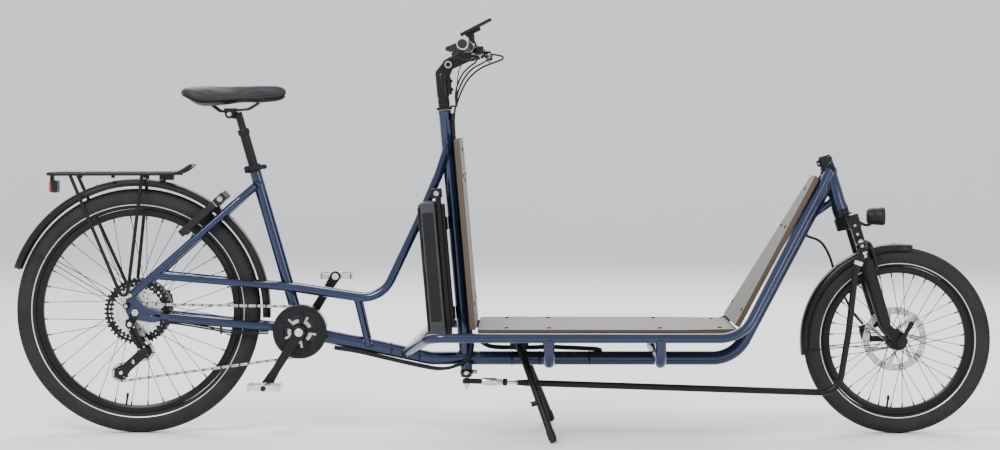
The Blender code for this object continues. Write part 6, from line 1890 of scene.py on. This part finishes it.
def make_headlight():
    front = row(1.0700, 0, 0.6035)
    where = facing(front, Vector((1, 0, 0)))
    case = [(0.0205, -0.0040), (0.0225, -0.0010), (0.0240, -0.0010), (0.0255, -0.0035), (0.0255, -0.0140),
            (0.0250, -0.0148)]
    case += [(0.0250, -0.0165), (0.0243, -0.0180), (0.0236, -0.0340), (0.0222, -0.0440), (0.0180, -0.0500),
             (0, -0.0525)]
    shape = Shape().turned([(0, -0.0080), (0.0205, -0.0080), *case], where, 48)
    for k in range(7):
        shape.turned([(0.0200, -0.0280 - 0.0022 * k), (0.0249 - 0.0003 * k, -0.0284 - 0.0022 * k),
                      (0.0200, -0.0292 - 0.0022 * k)], where, 40, closed=True)
    root = at_fork(-0.040, 0.0345)
    shape.tube(bent([root, row(1.0200, 0, 0.5760), row(1.0460, 0, 0.5920)], 0.02, 6), 0.0040, 16)
    shape.rod(row(1.0440, -0.0060, 0.5860), row(1.0440, 0.0060, 0.5860), 0.0065, 20)
    shape.block((0.006, 0.022, 0.020), stood(at_fork(-0.040, 0.0365), lean(HEAD_AXIS)))
    piece("headlight_case", shape, PLASTIC, "fork", ["headlight"], bevel=0.0006)
    lens = Shape().turned([(0, -0.0005), (0.0100, -0.0008), (0.0180, -0.0018), (0.0206, -0.0032),
                           (0.0206, -0.0060), (0, -0.0060)], where, 40)
    for k in range(5):
        rib = where @ Matrix.Translation((0, -0.0120 + 0.006 * k, -0.0008))
        lens.block((0.034 - 0.006 * abs(k - 2), 0.0016, 0.0012), rib)
    piece("headlight_lens", lens, GLASS, "fork", bevel=0.0003)
    bulb = Shape().turned([(0, -0.0068), (0.0070, -0.0068), (0.0080, -0.0075), (0.0190, -0.0078),
                           (0.0190, -0.0085), (0, -0.0085)], where, 32)
    piece("headlight_reflector", bulb, SILVER, "fork")


# ---------------------------------------------------------------- cables


def strand(name, points, radius):
    """A cable between two bodies, as a smooth tube through points; it rides on neither body, and its placing
    is baked into its mesh.
    """
    path = smooth_route(points, 10)
    made = piece(name, Shape().tube(path, radius, 12), RUBBER, None, angle=60)
    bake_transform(made)
    return made


def make_cockpit_cables():
    """Four cables from the bar to a tie on the riser, and on into the guide at the column's top."""
    gathered = at_column(0.7420, 0.0335)
    guide = at_column(0.7060, 0.0245)
    starts = {
        "brake_hose_right": (0.0025, -0.0165, [
            row(-0.0560, -0.1400, 1.0560), row(-0.0200, -0.1180, 1.0500), row(0.0005, -0.1032, 1.0470),
            row(0.0090, -0.0939, 1.0440), row(0.0107, -0.0814, 1.0400), row(0.0048, -0.0702, 1.0355),
            row(-0.0046, -0.0647, 1.0320), row(-0.0500, -0.0480, 1.0140), row(-0.0848, -0.0320, 0.9850),
            row(-0.1050, -0.0230, 0.9500)]),
        "shift_cable": (0.0024, -0.0110, [
            row(-0.0610, -0.1440, 1.0430), row(-0.0640, -0.1150, 1.0290), row(-0.0800, -0.0800, 1.0180),
            row(-0.1010, -0.0450, 0.9980), row(-0.1150, -0.0250, 0.9700), row(-0.1215, -0.0150, 0.9430)]),
        "brake_hose_left": (0.0025, -0.0055, [
            row(-0.0560, 0.1400, 1.0560), row(-0.0300, 0.1120, 1.0480), row(-0.0450, 0.0700, 1.0320),
            row(-0.0760, 0.0350, 1.0130), row(-0.1000, 0.0100, 0.9830), row(-0.1160, 0.0000, 0.9450)]),
        "display_wire": (0.0015, -0.0010, [
            row(-0.0620, 0.0280, 1.0790), row(-0.0605, 0.0310, 1.0680), row(-0.0690, 0.0330, 1.0560),
            row(-0.0900, 0.0310, 1.0380),
            row(-0.1110, 0.0220, 1.0150), row(-0.1180, 0.0080, 0.9650)]),
    }
    replaced = []
    for name, (radius, across, points) in starts.items():
        tie = gathered + ACROSS * across
        upper = strand(f"{name}_upper", [*points, tie], radius)
        lower = strand(f"{name}_lower", [tie, at_column(0.7330, 0.0295, across * 0.95),
                                         guide + ACROSS * across * 0.9],
                       radius)
        replaced += [upper, lower]
    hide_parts("cockpit_cables")
    tie = Shape().block((0.0080, 0.0250, 0.0050), stood(gathered + ACROSS * -0.0090, lean(COLUMN_AXIS)))
    tie.block((0.018, 0.006, 0.0050), stood(at_column(0.7420, 0.0235, 0.0000), lean(COLUMN_AXIS)))
    piece("cable_tie", tie, PLASTIC, "steering_column", bevel=0.0012)


FRAME_ROUTE = [at_column(0.720, 0.0232, -0.008), at_column(0.660, 0.0208, -0.006),
               at_column(0.400, 0.0208, -0.006)]
FRAME_ROUTE += [at_column(0.120, 0.0208, -0.010), at_column(0.078, 0.0215, -0.020),
                row(-0.0850, -0.0270, 0.2100)]
FRAME_ROUTE += [row(-0.1150, -0.0245, 0.1900), row(-0.1600, -0.0100, 0.1790), row(-0.2200, -0.0060, 0.1870)]
FRAME_ROUTE += [row(-0.3914, -0.0060, 0.2258), row(-0.4600, -0.0060, 0.2370)]


def make_frame_cables():
    """Five strands in a bundle down the column and under the main tube, in their clips."""
    shape = Shape()
    path = smooth_route(FRAME_ROUTE, 10)
    frames = path_frames(path, False, ACROSS)
    for i, (spread, lift) in enumerate(((-0.0052, 0.0008), (0.0, 0.0016), (0.0052, 0.0008),
                                        (-0.0026, -0.0030), (0.0028, -0.0032))):
        line = []
        for k, (p, (side, up)) in enumerate(zip(path, frames)):
            slack = 0.0020 * math.sin(0.13 * k + 1.7 * i)
            line.append(p + side * (spread + slack) + up * (lift + 0.5 * slack))
        shape.tube(line, 0.0027, 12)
    piece("frame_cable_bundle", shape, RUBBER, "frame", ["frame_cables"], angle=60)
    clips = Shape()
    for up in (0.660, 0.480, 0.300, 0.140):
        clips.block((0.0080, 0.0190, 0.0070), stood(at_column(up, 0.0195, -0.006), lean(COLUMN_AXIS)))
    clips.block((0.0070, 0.0190, 0.0100), stood(row(-0.2220, -0.0060, 0.1885), Matrix.Rotation(0.2, 4, "Y")))
    clips.block((0.0070, 0.0190, 0.0100), stood(row(-0.3914, -0.0060, 0.2270), Matrix.Rotation(0.2, 4, "Y")))
    piece("cable_clips", clips, PLASTIC, "frame", bevel=0.0012)
    top = Shape()
    for spread, lift in ((-0.0045, 0.0), (0.0005, 0.0030), (0.0050, -0.0005), (0.0010, -0.0035)):
        line = [row(-0.062, 0.018, 0.262), row(-0.045, 0.020, 0.248), row(-0.020, 0.028, 0.2380),
                row(0.030, 0.042, 0.2345)]
        line += [row(0.095, 0.038, 0.2350), row(0.136, 0.030, 0.2375), row(0.180, 0.014, 0.2370),
                 row(0.262, 0.004, 0.2340)]
        line += [row(0.285, 0.003, 0.2290)]
        top.tube(smooth_route([p + Vector((0, spread, lift)) for p in line], 6), 0.0031, 12)
    piece("wiring_on_main_tube", top, RUBBER, "frame")
    under = Shape()
    for lift in (0.0, 0.0056):
        line = [row(-0.936, -0.0810, 0.3130), row(-0.902, -0.0740, 0.3100), row(-0.850, -0.0640, 0.3020),
                row(-0.796, -0.0570, 0.2920)]
        line += [row(-0.743, -0.0500, 0.2830), row(-0.690, -0.0430, 0.2800), row(-0.640, -0.0350, 0.2800)]
        under.tube(smooth_route([p + UP * lift for p in line], 6), 0.0025, 12)
    under.block((0.0060, 0.0110, 0.0330), stood(row(-0.770, -0.0530, 0.2960)))
    piece("gear_cables_under_stay", under, RUBBER, "frame")


def make_fork_hose():
    points = [row(0.8560, 0.0240, 0.5480), row(0.8970, 0.0420, 0.5300), row(0.9230, 0.0480, 0.4880),
              row(0.9400, 0.0520, 0.4300)]
    points += [row(0.9850, 0.0570, 0.3400), row(1.0180, 0.0600, 0.2990)]
    upper = strand("fork_hose_upper", points[:4], 0.0036)
    strand("fork_hose_lower", points[3:], 0.0036)
    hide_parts("fork_hose")
    ends = Shape().rod(points[0] - Vector((0.012, 0.002, -0.001)), points[0] + Vector((0.004, 0.001, 0)),
                       0.0048, 18)
    piece("fork_hose_grommet", ends, RUBBER, "frame", bevel=0.0010)


make_stage()
make_camera()
make_main_tube()
make_head_tube()
make_column()
make_side_rails()
make_hoops()
make_seat_tube()
make_upper_tubes()
make_stays()
make_motor()
make_wheels()
make_cassette()
make_chain()
make_crankset()
make_pedals()
make_derailleur()
make_rear_fender()
make_rack()
make_ring_lock()
make_boards()
make_battery()
make_battery_rail()
make_kickstand()
make_saddle()
make_seat_post()
make_clamp_lever()
make_steering()
make_stem()
make_handlebar()
make_brakes()
make_shifter()
make_display()
make_tie_rod()
make_fork_crown()
make_fork_lowers()
make_front_axle()
make_headlight()
make_cockpit_cables()
make_frame_cables()
make_fork_hose()
